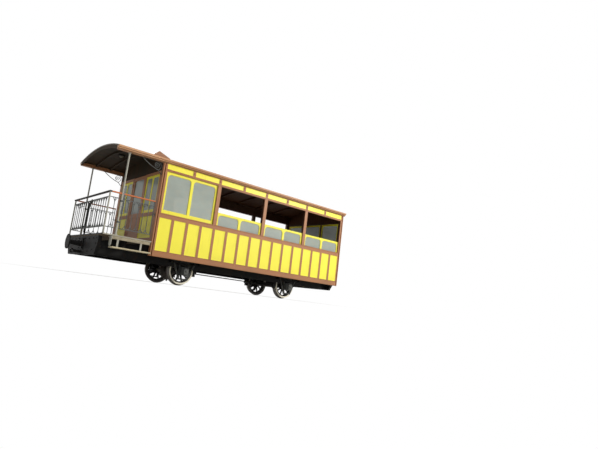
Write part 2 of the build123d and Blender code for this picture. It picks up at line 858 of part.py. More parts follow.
# brake blocks, their hangers, beam and rod
block_faces = (
    # block face x, which way the wheel lies
    (front_axle_x + tread_radius + brake_gap, -1),
    (rear_axle_x - tread_radius - brake_gap, 1),
)
with BuildPart() as brake_blocks:
    for x, towards in block_faces:
        for side in (-1, 1):
            y0, y1 = sorted((side * (tyre_y0 + 40), side * (tyre_y1 - 5)))
            x0, x1 = sorted((x, x - towards * 70))
            block(x0, x1, y0, y1, axle_z - 110, axle_z + 110)
    for x, towards in block_faces:
        centre = x + towards * (tread_radius + brake_gap)
        with Locations((centre, 0, axle_z)):
            Cylinder(tread_radius + brake_gap, 3000, rotation=(90, 0, 0), mode=Mode.SUBTRACT)
    for x, towards in block_faces:
        for side in (-1, 1):
            x0, x1 = sorted((x - towards * (hanger_reach - 12), x - towards * (hanger_reach + 12)))
            y0, y1 = sorted((side * (tyre_y0 + 70), side * (tyre_y0 + 120)))
            block(x0, x1, y0, y1, axle_z + 30, sole_z1)
save(brake_blocks.part, "brake_blocks")

rows = []
for x, towards in block_faces:
    x0, x1 = sorted((x - towards * 70, x - towards * 110))
    rows.append((x0, x1, -(tyre_y1 - 5), tyre_y1 - 5, axle_z - 30, axle_z + 30))
rows.append((block_faces[0][0] + 110, block_faces[1][0] - 110, -14, 14, axle_z - 14, axle_z + 14))
with BuildPart() as brake_gear:
    boxes(rows)
save(brake_gear.part, "brake_rigging")

# central buffers with a draw eye below
buffer_z = 760
eye_z = 545
eye_radius = 25
buffers_at = (
    (-1, platform_x0, buffer_reach[0]),
    (1, sole_x1 + headstock_thick, buffer_reach[1]),
)
with BuildPart() as buffers:
    for side, x, reach in buffers_at:
        with Locations((x + side * 12, 0, buffer_z)):
            Box(24, 300, 300)
        with Locations((x + side * reach / 2, 0, buffer_z)):
            Cone(82, 55, reach - 20, rotation=(0, side * 90, 0))
        with Locations((x + side * (reach - 15), 0, buffer_z)):
            Cylinder(190, 30, rotation=(0, 90, 0))
    for side, x, reach in buffers_at:
        with Locations((x + side * 100, 0, eye_z)):
            Box(200, 50, 70)
        with Locations((x + side * 210, 0, eye_z)):
            Cylinder(55, 50, rotation=(90, 0, 0))
            Cylinder(eye_radius, 60, rotation=(90, 0, 0), mode=Mode.SUBTRACT)
save(buffers.part, "draw_gear")

# roof posts with their sockets, and the corner posts of the railing
post_radius = 21
corner_radius = 19
socket_radius = 31
socket_height = 270
corner_x = platform_x0 + 35
with BuildPart() as roof_posts:
    for side in (-1, 1):
        with Locations((roof_post_x, side * rail_y, (floor_z + frieze_z1) / 2)):
            Cylinder(post_radius, frieze_z1 - floor_z)
        with Locations((roof_post_x, side * rail_y, floor_z + socket_height / 2)):
            Cylinder(socket_radius - 3, socket_height)
        with Locations((roof_post_x, side * rail_y, floor_z + socket_height - 14)):
            Cylinder(socket_radius + 5, 28)
        with Locations((corner_x, side * rail_y, (floor_z + rail_z) / 2)):
            Cylinder(corner_radius, rail_z - floor_z)
save(roof_posts.part, "platform_posts")

# wrought iron: flat bars whose ends fork into pointed arches against the rails
rail_low = floor_z + 165
rail_mid = rail_z - 110
iron = 14                  # thickness of the flat bars
bar = 13                   # width of the uprights
fork = 11                  # width of the forked ends
arch = 105                 # height of the pointed arches


def fence(u0, u1, count):
    """Outline of a railing from u0 to u1 with the given number of uprights."""
    pitch = (u1 - u0) / (count + 1)
    with BuildSketch() as outline:
        for z, height in ((rail_low, 20), (rail_mid, 16)):
            with Locations(((u0 + u1) / 2, z)):
                Rectangle(u1 - u0, height)
        for index in range(1, count + 1):
            with Locations((u0 + index * pitch, (rail_low + rail_mid) / 2)):
                Rectangle(bar, rail_mid - rail_low)
        for index in range(1, count + 1):
            u = u0 + index * pitch
            for z, turn in ((rail_low, 1), (rail_mid, -1)):
                for way in (-1, 1):
                    with BuildLine():
                        ThreePointArc(
                            (u, z + turn * arch),
                            (u + way * pitch * 0.2, z + turn * arch * 0.42),
                            (u + way * pitch / 2, z),
                        )
                    trace(line_width=fork)
    return outline.sketch


end_bars = 15
side_bars = 1
gate_bars = 5
side_u0 = corner_x + corner_radius + seat_gap
side_u1 = roof_post_x - socket_radius - 5 - seat_gap
end_u = rail_y - corner_radius - seat_gap
end_fence = fence(-end_u, end_u, end_bars)
side_fence = fence(side_u0, side_u1, side_bars)
with BuildPart() as railing:
    with BuildSketch(Plane.YZ.offset(corner_x - iron / 2)):
        add(end_fence)
    extrude(amount=iron)
    for side in (-1, 1):
        with BuildSketch(Plane.XZ.offset(-side * rail_y - iron / 2)):
            add(side_fence)
        extrude(amount=iron)
save(railing.part, "railing")

# wooden handrails with rounded edges
rail_wide = 68
rail_tall = 34
rail_round = 12
with BuildPart() as handrails:
    with BuildSketch(Plane.XZ.offset(-rail_y - rail_wide / 2)) as profile:
        with Locations((corner_x, rail_z + rail_tall / 2)):
            RectangleRounded(rail_wide, rail_tall, rail_round)
    extrude(profile.sketch, amount=2 * rail_y + rail_wide)
    for side in (-1, 1):
        with BuildSketch(Plane.YZ.offset(corner_x)) as profile:
            with Locations((side * rail_y, rail_z + rail_tall / 2)):
                RectangleRounded(rail_wide, rail_tall, rail_round)
        extrude(profile.sketch, amount=roof_post_x - post_radius - seat_gap - corner_x)
save(handrails.part, "handrails")

# side gates, hung on the roof posts by collars
gate_hinge_x = roof_post_x + 60
gates = (("near", -1), ("far", 1))
collar_z = (floor_z + socket_height + 50, rail_mid - 60)
collar_height = 40
gate_frame = 18
gate_fence = fence(gate_hinge_x, gate_end_x, gate_bars)
for name, side in gates:
    y = side * rail_y
    with BuildPart() as gate:
        with BuildSketch(Plane.XZ.offset(-y - iron / 2)):
            add(gate_fence)
        extrude(amount=iron)
        for x in (gate_hinge_x, gate_end_x - gate_frame / 2):
            block(x - gate_frame / 2, x + gate_frame / 2, y - 9, y + 9, rail_low - 10, rail_z)
        for z in collar_z:
            block(roof_post_x, gate_hinge_x, y - 8, y + 8, z - collar_height / 2, z + collar_height / 2)
            with Locations((roof_post_x, y, z)):
                Cylinder(post_radius + 9, collar_height)
                Cylinder(post_radius + seat_gap, collar_height + 2, mode=Mode.SUBTRACT)
    save(gate.part, "gate_" + name)
    with BuildPart() as gate_rail:
        with BuildSketch(Plane.YZ.offset(gate_hinge_x - 14)):
            with Locations((y, rail_z + rail_tall / 2)):
                RectangleRounded(rail_wide - 6, rail_tall, rail_round)
        extrude(amount=gate_end_x + 4 - gate_hinge_x + 14)
    save(gate_rail.part, "gate_handrail_" + name)

# scroll brackets: a strap frame, a curved strut and a spiral of half circles in the corner
strap = 10
scroll_x = body_x0 - 150
scroll_z = frieze_z1 - 102
strut_reach = 561
strut_end = 330
joint_x = body_x0 - 118
joint_z = frieze_z1 - 223
turns = ((105, -66), (-66, 52), (52, -28), (-28, 14))
with BuildPart() as brackets:
    for side in (-1, 1):
        with BuildSketch(Plane.XZ.offset(-side * (rail_y - 8))) as frame:
            with Locations((body_x0 - seat_gap - (strut_reach + 40) / 2, frieze_z1 - seat_gap - strap / 2)):
                Rectangle(strut_reach + 40, strap)
            with Locations((body_x0 - seat_gap - strap / 2, frieze_z1 - seat_gap - strut_end / 2)):
                Rectangle(strap, strut_end)
            with BuildLine():
                ThreePointArc(
                    (body_x0 - strut_reach, frieze_z1 - 8),
                    (body_x0 - 345, frieze_z1 - 139),
                    (joint_x, joint_z),
                )
            trace(line_width=15)
            with BuildLine():
                ThreePointArc(
                    (joint_x, joint_z),
                    (body_x0 - 62, joint_z - 48),
                    (body_x0 - 8, frieze_z1 - strut_end + 8),
                )
            trace(line_width=12)
            with BuildLine():
                TangentArc((scroll_x + turns[0][0], scroll_z), (joint_x, joint_z), tangent=(0, -1))
            trace(line_width=12)
            for index, (u0, u1) in enumerate(turns):
                with BuildLine():
                    ThreePointArc(
                        (scroll_x + u0, scroll_z),
                        (scroll_x + (u0 + u1) / 2, scroll_z + (-1) ** index * abs(u1 - u0) / 2),
                        (scroll_x + u1, scroll_z),
                    )
                trace(line_width=12)
        extrude(frame.sketch, amount=-side * 16)
save(brackets.part, "scroll_brackets")

# steps: an upper board with a grooved front, end plates, hangers and a lower board
step_x0 = platform_x0 + 233
step_x1 = body_x0 - 43
step_width = 270
step_out = frame_half + step_width
step_top = floor_z - 38
step_front = 72
step_board = 28
step_groove = 6
with BuildPart() as upper_steps:
    for side in (-1, 1):
        with BuildSketch(Plane.YZ.offset(step_x0)) as profile:
            with BuildLine():
                Polyline(
                    (side * frame_half, step_top - step_board),
                    (side * frame_half, step_top),
                    (side * step_out, step_top),
                    (side * step_out, step_top - 17),
                    (side * (step_out - step_groove), step_top - 20),
                    (side * (step_out - step_groove), step_top - 27),
                    (side * step_out, step_top - 30),
                    (side * step_out, step_top - 46),
                    (side * (step_out - step_groove), step_top - 49),
                    (side * (step_out - step_groove), step_top - 56),
                    (side * step_out, step_top - 59),
                    (side * step_out, step_top - step_front),
                    (side * (step_out - 28), step_top - step_front),
                    (side * (step_out - 28), step_top - step_board),
                    close=True,
                )
            make_face()
        extrude(profile.sketch, amount=step_x1 - step_x0)
save(upper_steps.part, "upper_steps")

low_step_x0 = step_x0 + 22
low_step_x1 = body_x0 - 9
low_step_z = 690
low_step_board = 32
low_step_width = 255
low_step_out = step_out + 35
with BuildPart() as lower_steps:
    for side in (-1, 1):
        with BuildSketch(Plane.YZ.offset(low_step_x0)) as profile:
            with Locations((side * (low_step_out - low_step_width / 2), low_step_z + low_step_board / 2)):
                RectangleRounded(low_step_width, low_step_board, 9)
        extrude(profile.sketch, amount=low_step_x1 - low_step_x0)
save(lower_steps.part, "lower_steps")

plate_thick = 12
hanger_width = 44
hanger_places = (step_x0 + 154, step_x1 - 229)
low_step_top = low_step_z + low_step_board
rows = []
for side in (-1, 1):
    for x in hanger_places:
        y0, y1 = sorted((side * (step_out - 21), side * (step_out - 7)))
        rows.append((x - hanger_width / 2, x + hanger_width / 2, y0, y1, low_step_top, step_top - step_front))
with BuildPart() as step_hangers:
    boxes(rows)
    for side in (-1, 1):
        with BuildSketch(Plane.YZ.offset(step_x0 - plate_thick)) as profile:
            with BuildLine():
                Polyline(
                    (side * (step_out - 150), step_top),
                    (side * step_out, step_top),
                    (side * step_out, step_top - 205),
                    (side * (step_out - 45), step_top - 245),
                    (side * (step_out - 110), step_top - 245),
                    (side * (step_out - 150), step_top - 190),
                    close=True,
                )
            make_face()
        extrude(profile.sketch, amount=plate_thick)
save(step_hangers.part, "step_hangers")

# hand brake column with a crank
brake_x = platform_x0 + 170
brake_y = 520
column_height = 880
crank_reach = 170
column_radius = 22
with BuildPart() as column:
    block(-65, 65, -65, 65, 0, 16)
    with Locations((0, 0, column_height / 2)):
        Cylinder(column_radius, column_height)
    block(-34, 34, -34, 34, column_height - 80, column_height)
    block(-14, 14, -crank_reach, 14, column_height, column_height + 14)
    with Locations((0, -crank_reach + 16, column_height + 14 + 50)):
        Cylinder(15, 100)
save(column.part.moved(Location((brake_x, brake_y, floor_z))), "brake_column")

# end door
door_x0 = body_x0 + 6
door_thick = 42
hinge_x = body_x0 - 13
hinge_y = door_half - 3
hinge_z = (floor_z + 240, window_z - 230)
pin_radius = 5
with BuildPart() as door_hinges:
    for z in hinge_z:
        for end in (-1, 1):
            with Locations((hinge_x, hinge_y, z + end * 31)):
                Cylinder(11, 10)
            block(hinge_x, body_x0, hinge_y + 3, hinge_y + 11, z + end * 31 - 5, z + end * 31 + 5)
        with Locations((hinge_x, hinge_y, z)):
            Cylinder(pin_radius, 60)
save(door_hinges.part, "door_hinges")

door_rail = 95
handle_z = floor_z + 960
door_light = 2 * (door_half - 6 - door_rail)
door_height = end_height - 30
door_hole = light_outline(door_light, door_height, end_radius)
door_glass = light_outline(door_light - 0.4, door_height - 0.4, end_radius)
door_middle = (end_light_z0 + end_light_z1) / 2
panel_rebate = 8
with BuildPart() as door:
    block(door_x0, door_x0 + door_thick, -door_half + 6, door_half - 6, floor_z + 8, window_z - 6)
    for z in hinge_z:
        block(door_x0 - 8, door_x0, door_half - 110, hinge_y - 2, z - 25, z + 25)
        block(hinge_x, door_x0, hinge_y - 11, hinge_y - 5, z - 25, z + 25)
        with Locations((hinge_x, hinge_y, z)):
            Cylinder(11, 50)
            Cylinder(pin_radius + seat_gap, 60, mode=Mode.SUBTRACT)
    with BuildSketch(Plane.YZ.offset(door_x0)) as hole:
        add(Pos(0, door_middle) * door_hole)
    extrude(hole.sketch, amount=door_thick, mode=Mode.SUBTRACT)
    for x in (door_x0 + panel_rebate / 2, door_x0 + door_thick - panel_rebate / 2):
        with Locations((x, 0, (end_panel_z0 + end_panel_z1) / 2)):
            Box(panel_rebate, door_light, end_panel_z1 - end_panel_z0, mode=Mode.SUBTRACT)
    block(door_x0 - 34, door_x0, -door_half + 46, -door_half + 62, handle_z - 8, handle_z + 8)
    block(door_x0 - 34, door_x0 - 20, -door_half + 40, -door_half + 150, handle_z - 10, handle_z + 10)
save(door.part, "end_door")

with BuildPart() as door_pane:
    with BuildSketch(Plane.YZ.offset(door_x0 + (door_thick - glass_thick) / 2)):
        add(Pos(0, door_middle) * door_glass)
    extrude(amount=glass_thick)
save(door_pane.part, "end_door_pane")
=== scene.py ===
import json
import math

import bmesh
import bpy
from mathutils import Matrix, Vector


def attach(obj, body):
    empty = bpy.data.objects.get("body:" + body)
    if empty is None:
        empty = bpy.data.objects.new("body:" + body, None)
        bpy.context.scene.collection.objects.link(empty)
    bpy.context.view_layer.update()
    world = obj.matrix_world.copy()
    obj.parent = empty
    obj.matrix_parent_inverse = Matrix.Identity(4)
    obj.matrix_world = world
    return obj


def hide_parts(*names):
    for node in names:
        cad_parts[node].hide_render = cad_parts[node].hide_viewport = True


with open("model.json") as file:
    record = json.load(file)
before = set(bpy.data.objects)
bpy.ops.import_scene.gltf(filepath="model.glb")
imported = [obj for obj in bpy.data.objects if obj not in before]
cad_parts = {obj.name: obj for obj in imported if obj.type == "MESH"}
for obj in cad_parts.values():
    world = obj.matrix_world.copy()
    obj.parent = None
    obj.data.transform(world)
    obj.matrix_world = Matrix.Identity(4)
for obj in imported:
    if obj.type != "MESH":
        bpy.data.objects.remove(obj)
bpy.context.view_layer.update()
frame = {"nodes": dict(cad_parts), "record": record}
nodes = frame["nodes"]

# Places and sizes that the pieces share with the solids, in millimetres. X runs from the
# open platform to the closed end, Y from the near side to the far side, and Z up.
millimetres = 1000                # in a metre
axles = {"front": -1530, "rear": 2280}
axle_z = 400
wall = 1470                       # outside of the side walls, from the centre line
first_panel = -2710               # where the first side panel starts
pitch = 420                       # from one side panel to the next
batten = 82                       # width of the battens between the panels
front_spans = ((-1300, -480), (480, 1300))               # panels beside the end door
rear_spans = ((-1300, -490), (-430, 430), (490, 1300))   # panels of the closed end
end_panel_z, end_panel_height = 1400, 580
floor_top = 1010                  # platform floor
fence_y = 1405                    # railings, gates and posts, from the centre line
roof_post_x = -3735
corner_post_x = -4035
forks = (1268, 1784)              # heights where the bars of the railing and gates fork

near_far = (-1, 1)
up, down, forward = (0, 0, 1), (0, 0, -1), (-1, 0, 0)


def srgb(red, green, blue):
    """A screen colour, 0 to 255 each, as the linear colour that a shader takes."""
    out = []
    for part in (red, green, blue):
        part /= 255
        out.append(part / 12.92 if part <= 0.04045 else ((part + 0.055) / 1.055) ** 2.4)
    return (*out, 1.0)


def shade(colour, share):
    """The colour made darker, or lighter with a share over 1."""
    return (colour[0] * share, colour[1] * share, colour[2] * share, 1.0)


class Value:
    """A node's socket, so that shader maths reads as plain expressions."""

    def __init__(self, nodes, socket):
        self.nodes = nodes
        self.socket = socket

    def math(self, operation, *values):
        return self.nodes.add("ShaderNodeMath", {"operation": operation}, dict(enumerate(values)))

    def __add__(self, other):
        return self.math("ADD", self, other)

    def __radd__(self, other):
        return self.math("ADD", other, self)

    def __sub__(self, other):
        return self.math("SUBTRACT", self, other)

    def __rsub__(self, other):
        return self.math("SUBTRACT", other, self)

    def __mul__(self, other):
        return self.math("MULTIPLY", self, other)

    def __rmul__(self, other):
        return self.math("MULTIPLY", other, self)

    def __truediv__(self, other):
        return self.math("DIVIDE", self, other)

    def __pow__(self, other):
        return self.math("POWER", self, other)

    def __abs__(self):
        return self.math("ABSOLUTE", self)

    def fract(self):
        return self.math("FRACT", self)

    def floor(self):
        return self.math("FLOOR", self)

    def least(self, other):
        return self.math("MINIMUM", self, other)

    def most(self, other):
        return self.math("MAXIMUM", self, other)

    def over(self, low, high):
        """0 below low, 1 above high and smooth between."""
        settings = {"interpolation_type": "SMOOTHSTEP"}
        return self.nodes.add("ShaderNodeMapRange", settings, {0: self, 1: low, 2: high})

    def between(self, low, high, soft):
        """1 from low to high, with edges as soft as the last number says."""
        return self.over(low - soft, low + soft) * (1 - self.over(high - soft, high + soft))


class Nodes:
    """The node tree of a material or of the world."""

    def __init__(self, tree):
        self.tree = tree

    def add(self, kind, settings, sockets, output=0):
        """Adds a node, sets it up, then fills its sockets with numbers or links."""
        node = self.tree.nodes.new(kind)
        for key, value in settings.items():
            setattr(node, key, value)
        for key, value in sockets.items():
            if isinstance(value, Value):
                self.tree.links.new(value.socket, node.inputs[key])
            else:
                node.inputs[key].default_value = value
        return Value(self, node.outputs[output])

    def blend(self, factor, first, second):
        """Blends two shaders."""
        return self.add("ShaderNodeMixShader", {}, {0: factor, 1: first, 2: second})

    def show(self, shader, end):
        """Makes a shader the one that the tree ends in."""
        self.tree.links.new(shader.socket, self.tree.nodes[end].inputs["Surface"])


finishes = {}


class Finish(Nodes):
    """A material with a Principled shader, and the nodes that feed it."""

    def __init__(self, name, colour, roughness, **constants):
        material = bpy.data.materials.new(name)
        material.use_nodes = True
        material.diffuse_color = colour
        finishes[name] = material
        super().__init__(material.node_tree)
        self.shader = self.tree.nodes["Principled BSDF"]
        self.shader.inputs["Base Color"].default_value = colour
        self.shader.inputs["Roughness"].default_value = roughness
        for key, value in constants.items():
            self.shader.inputs[key.replace("_", " ")].default_value = value
        self.place = self.add("ShaderNodeTexCoord", {}, {}, "Object")
        self.rounded = self.add("ShaderNodeBevel", {"samples": 4}, {"Radius": 0.003})

    def parts(self):
        """The place on the surface as three values, in metres."""
        split = self.add("ShaderNodeSeparateXYZ", {}, {0: self.place}).socket.node
        return [Value(self, socket) for socket in split.outputs]

    def noise(self, scale, stretch=(1, 1, 1), detail=4.0, rough=0.55, shift=0.0):
        """Cloudy noise over the surface, from 0 to 1."""
        at = self.add("ShaderNodeMapping", {}, {
            "Vector": self.place, "Scale": stretch, "Location": (shift, shift, shift),
        })
        return self.add("ShaderNodeTexNoise", {}, {
            "Vector": at, "Scale": scale, "Detail": detail, "Roughness": rough,
        })

    def edges(self):
        """1 on the outer and inner edges, 0 on the flat."""
        straight = self.add("ShaderNodeNewGeometry", {}, {}, "Normal")
        settings = {"operation": "DOT_PRODUCT"}
        alike = self.add("ShaderNodeVectorMath", settings, {0: self.rounded, 1: straight}, "Value")
        return 1 - alike.over(0.80, 0.99)

    def mix(self, factor, first, second):
        """Blends two colours."""
        settings = {"data_type": "RGBA", "blend_type": "MIX"}
        return self.add("ShaderNodeMix", settings, {0: factor, 6: first, 7: second}, 2)

    def tones(self, factor, colour, dark, light):
        """From a dark to a light shade of one colour."""
        return self.mix(factor, shade(colour, dark), shade(colour, light))

    def feed(self, name, value):
        self.tree.links.new(value.socket, self.shader.inputs[name])

    def bump(self, height, distance, strength):
        self.feed("Normal", self.add("ShaderNodeBump", {}, {
            "Height": height, "Distance": distance, "Strength": strength, "Normal": self.rounded,
        }))


yellow = srgb(250, 240, 76)
brown = srgb(170, 117, 80)
# Dark varnished wood inside, made darker still as painted shade.
inside_brown_and_shade = srgb(74, 46, 30)
dust = srgb(104, 90, 70)
rust = srgb(92, 54, 33)
strip_pale = srgb(176, 172, 156)
tyre_white = srgb(246, 240, 220)
plain_white = (1, 1, 1, 1)

lengthwise = (1, 12, 12)          # stretch of the grain
upright = (12, 12, 1)
boards_lengthwise = (1, 10, 10)

# Where one colour gives way to another, in metres: the start and the end of each soft edge.
cabin_front, cabin_rear = (-2.7640, -2.7634), (3.9752, 3.9758)
cabin_side, cabin_roof = (1.4495, 1.4505), (3.345, 3.35)
platform_wall, overhang = (-2.82, -2.81), (-3.2, -2.2)
splash = (0.62, 1.15)
strip_side = (1.4601, 1.4606)
front_rail = (-4.0006, -3.9996)
tyre_face, tyre_ring = (0.8135, 0.8145), (0.322, 0.325)
tread_foot, flange_foot = (0.3655, 0.3668), (0.374, 0.378)


def painted_wood(name, colour, roughness, grain, dirt, worn, inner=None, painted_shade_lines=(), front=None):
    """Brushed paint on wood: fine grain, faint streaks, thin edges and dust low down.

    inner is the colour inside the coach and in the window reveals: dark varnished wood, made
    darker still as painted shade. front is the one over the platform. Each of the
    painted_shade_lines is a dark line of painted shade along the coach, from one height to
    another, with its strength.
    """
    finish = Finish(
        name, colour, roughness, Coat_Weight=0.03, Coat_Roughness=0.25, Specular_IOR_Level=0.2,
    )
    x, y, z = finish.parts()
    fine = finish.noise(26, grain, detail=6.0)
    streak = finish.noise(5, (3.0, 3.0, 0.35), shift=1.0)
    broad = finish.noise(1.3, (1, 1, 1.5), detail=3.0, shift=3.0)
    speck = finish.noise(90, detail=2.0, shift=7.0)
    tone = finish.tones((broad - 0.5) * 0.9 + 0.5, colour, 0.90, 1.06)
    if front:
        tone = finish.mix(x.over(*overhang), finish.tones(broad, front, 0.94, 1.06), tone)
    tone = finish.mix(fine.over(0.55, 0.75) * 0.18, tone, shade(colour, 0.66))
    tone = finish.mix(streak.over(0.56, 0.72) * 0.16, tone, shade(colour, 0.6))
    # Inside the coach and in the window reveals: dark varnish, darkened further as painted shade.
    if inner:
        inside = (1 - abs(y).over(*cabin_side)) * x.over(*cabin_front) * (1 - x.over(*cabin_rear))
        inside = inside * (1 - z.over(*cabin_roof))
        tone = finish.mix(inside, tone, finish.tones(fine.over(0.4, 0.65), inner, 0.8, 1.2))
    # Painted shade: dark lines along the coach where a moulding's lip and groove would be in
    # shadow.
    for bottom, top, strength in painted_shade_lines:
        tone = finish.mix(z.between(bottom, top, 0.001) * strength, tone, shade(colour, 0.3))
    wear = finish.edges() * speck.over(0.42, 0.6)
    tone = finish.mix(wear * worn, tone, shade(colour, 0.45))
    low = 1 - z.over(*splash)
    grime = low * broad.over(0.35, 0.7) * dirt + speck.over(0.66, 0.74) * 0.12
    finish.feed("Base Color", finish.mix(grime, tone, dust))
    finish.feed("Roughness", fine * 0.18 + (roughness - 0.06) + grime * 0.3 + wear * 0.1)
    finish.bump(fine + speck * 0.3 - wear * 0.5, 0.0006, 0.5)


def boarding(name, colour, roughness, grain, board=0.0, coat=0.1, worn=0.0, front=None):
    """Bare or varnished boards: grain, tone from board to board and dark joints.

    board is the width of one board, and front the colour outside, over the platform, made darker as
    painted shade.
    """
    finish = Finish(
        name, colour, roughness, Coat_Weight=coat, Coat_Roughness=0.25, Specular_IOR_Level=0.2,
    )
    x, y, _ = finish.parts()
    fine = finish.noise(18, grain, detail=8.0, rough=0.65)
    broad = finish.noise(2.2, (0.6, 2.5, 2.5), detail=3.0, shift=5.0)
    figure = fine.over(0.38, 0.68)
    tone = finish.tones(figure, colour, 0.62, 1.18)
    tone = finish.mix(broad * 0.5, tone, shade(colour, 0.85))
    if front:
        tone = finish.mix(x.over(*platform_wall), finish.tones(figure, front, 0.7, 1.15), tone)
    height = fine * 0.4
    if board:
        across = y / board
        edge = across.fract()
        joint = edge.least(1 - edge).over(0.02, 0.07)
        settings = {"noise_dimensions": "1D"}
        single = finish.add("ShaderNodeTexWhiteNoise", settings, {"W": across.floor()})
        tone = finish.mix(single * 0.35, tone, shade(colour, 0.7))
        tone = finish.mix(1 - joint, tone, shade(colour, 0.22))
        height = height + joint * 2.0
    if worn:
        tread = finish.noise(3.5, (1, 2, 1), detail=5.0, rough=0.6, shift=8.0)
        bare = (tread.over(0.42, 0.66) + finish.edges() * 0.5) * worn
        tone = finish.mix(bare, tone, shade(colour, 1.5))
    finish.feed("Base Color", tone)
    finish.feed("Roughness", fine * 0.25 + (roughness - 0.1))
    finish.bump(height, 0.0015, 0.6)


def coated_iron(name, colour, roughness, rusty, metal=0.0, bright=1.9):
    """Painted or bare iron: a cast skin, rust in patches and pale wear on the edges."""
    gloss = 0.5 if metal else 0.18
    finish = Finish(name, colour, roughness, Metallic=metal, Specular_IOR_Level=gloss)
    skin = finish.noise(55, detail=5.0)
    patch = finish.noise(7, detail=6.0, rough=0.7, shift=2.0)
    worn = finish.noise(20, detail=5.0, rough=0.7, shift=9.0)
    rubbed = finish.edges() * worn.over(0.45, 0.62)
    tone = finish.tones(skin * 0.5, colour, 0.8, 1.2)
    tone = finish.mix(patch.over(0.55, 0.7) * rusty, tone, rust)
    bare = rubbed * 0.6 + worn.over(0.64, 0.74) * 0.2
    finish.feed("Base Color", finish.mix(bare, tone, shade(colour, bright)))
    finish.feed("Roughness", skin * 0.25 + patch * 0.15 + (roughness - 0.18) - rubbed * 0.1)
    finish.bump(skin + worn * 0.4, 0.0012, 0.5)


def edging_iron():
    """Iron strip round the platform floor: pale along the sides, and black across the front as
    painted shade.
    """
    finish = Finish("edging_iron", strip_pale, 0.55, Specular_IOR_Level=0.2)
    _, y, _ = finish.parts()
    patch = finish.noise(7, detail=6.0, rough=0.7, shift=2.0)
    pale = finish.mix(patch.over(0.5, 0.7) * 0.5, strip_pale, srgb(110, 104, 90))
    # Near black across the front is painted shade.
    finish.feed("Base Color", finish.mix(abs(y).over(*strip_side), srgb(24, 23, 22), pale))
    finish.feed("Roughness", patch * 0.2 + 0.45)
    finish.bump(patch, 0.001, 0.5)


def canvas_roof():
    """Painted roof canvas: a fine weave, seams across and weather stains."""
    colour = srgb(118, 112, 102)
    seam_pitch = 0.95             # metres
    finish = Finish("roof_cover", colour, 0.85)
    x, _, _ = finish.parts()
    broad = finish.noise(1.1, (1, 0.5, 1), detail=5.0, rough=0.6)
    runs = finish.noise(4, (2.5, 0.3, 0.3), detail=5.0, rough=0.6, shift=6.0)
    weave = finish.noise(300, detail=2.0)
    edge = (x / seam_pitch).fract()
    seam = 1 - edge.least(1 - edge).over(0.006, 0.016)
    tone = finish.tones(broad.over(0.35, 0.7), colour, 0.78, 1.12)
    tone = finish.mix(runs.over(0.5, 0.75) * 0.4, tone, srgb(84, 74, 60))
    finish.feed("Base Color", finish.mix(seam * 0.5, tone, shade(colour, 0.6)))
    finish.feed("Roughness", weave * 0.1 + 0.78)
    finish.bump(seam * 3 + weave * 0.2, 0.002, 0.7)


def pane(name, tint, alpha, roughness):
    """Glass with an uneven film of dust, faint smears and a warm painted reflection in places."""
    finish = Finish(name, tint, roughness, IOR=1.45, Specular_IOR_Level=0.25)
    film = finish.noise(1.6, (1, 1, 2), detail=3.0)
    painted_reflection = finish.noise(5.0, (1, 1, 1.6), shift=6.0)
    smear = finish.noise(9.0, (1, 1, 0.4), shift=3.0)
    tone = finish.tones(film.over(0.35, 0.7), tint, 0.97, 1.02)
    # Painted reflection: a warm tint in patches.
    reflection_tint = (tint[0] * 1.12, tint[1], tint[2] * 0.94, 1.0)
    finish.feed("Base Color", finish.mix(painted_reflection.over(0.42, 0.66) * 0.45, tone, reflection_tint))
    finish.feed("Alpha", film.over(0.3, 0.8) * 0.05 + alpha)
    finish.feed("Roughness", smear * 0.06 + roughness)


def tyre_steel(name, axle_x):
    """Steel tyre: bright worn tread, greasy inside, and the outer face's ring painted white."""
    finish = Finish(name, tyre_white, 0.45)
    x, y, z = finish.parts()
    skin = finish.noise(40, detail=5.0)
    grime = finish.noise(6, detail=5.0, rough=0.7, shift=4.0)
    away = ((x - axle_x / millimetres) ** 2 + (z - axle_z / millimetres) ** 2) ** 0.5
    face = abs(y).over(*tyre_face) * away.over(*tyre_ring)
    tread = away.over(*tread_foot) * (1 - away.over(*flange_foot))
    tone = finish.mix(skin, srgb(62, 56, 50), srgb(92, 84, 76))
    tone = finish.mix(tread, tone, srgb(150, 146, 140))
    painted = finish.tones(skin * 0.5, tyre_white, 0.88, 1.0)
    painted = finish.mix(grime.over(0.54, 0.74) * 0.3, painted, dust)
    finish.feed("Base Color", finish.mix(face, tone, painted))
    finish.feed("Metallic", (1 - face) * tread * 0.8)
    finish.feed("Roughness", skin * 0.2 + 0.38)
    finish.bump(skin, 0.0006, 0.4)


def rail_varnish():
    """Varnished handrails, dark where they run across the front as painted shade."""
    colour = srgb(224, 126, 72)
    finish = Finish("varnished_wood", colour, 0.3, Coat_Roughness=0.15, Specular_IOR_Level=0.3)
    x, _, _ = finish.parts()
    fine = finish.noise(20, lengthwise, detail=8.0, rough=0.65)
    worn = finish.noise(9, (1, 3, 3), rough=0.6, shift=2.0)
    tone = finish.tones(fine.over(0.38, 0.68), colour, 0.7, 1.15)
    tone = finish.mix(worn.over(0.56, 0.75) * 0.3, tone, shade(colour, 0.45))
    # Across the front the rails get dark colours as painted shade.
    front = 1 - x.over(*front_rail)
    dark = finish.mix(fine.over(0.4, 0.7), srgb(38, 32, 28), srgb(60, 52, 46))
    finish.feed("Base Color", finish.mix(front, tone, dark))
    finish.feed("Roughness", fine * 0.15 + 0.22 + front * 0.3)
    finish.feed("Coat Weight", 0.5 - front * 0.5)
    finish.bump(fine, 0.0008, 0.5)


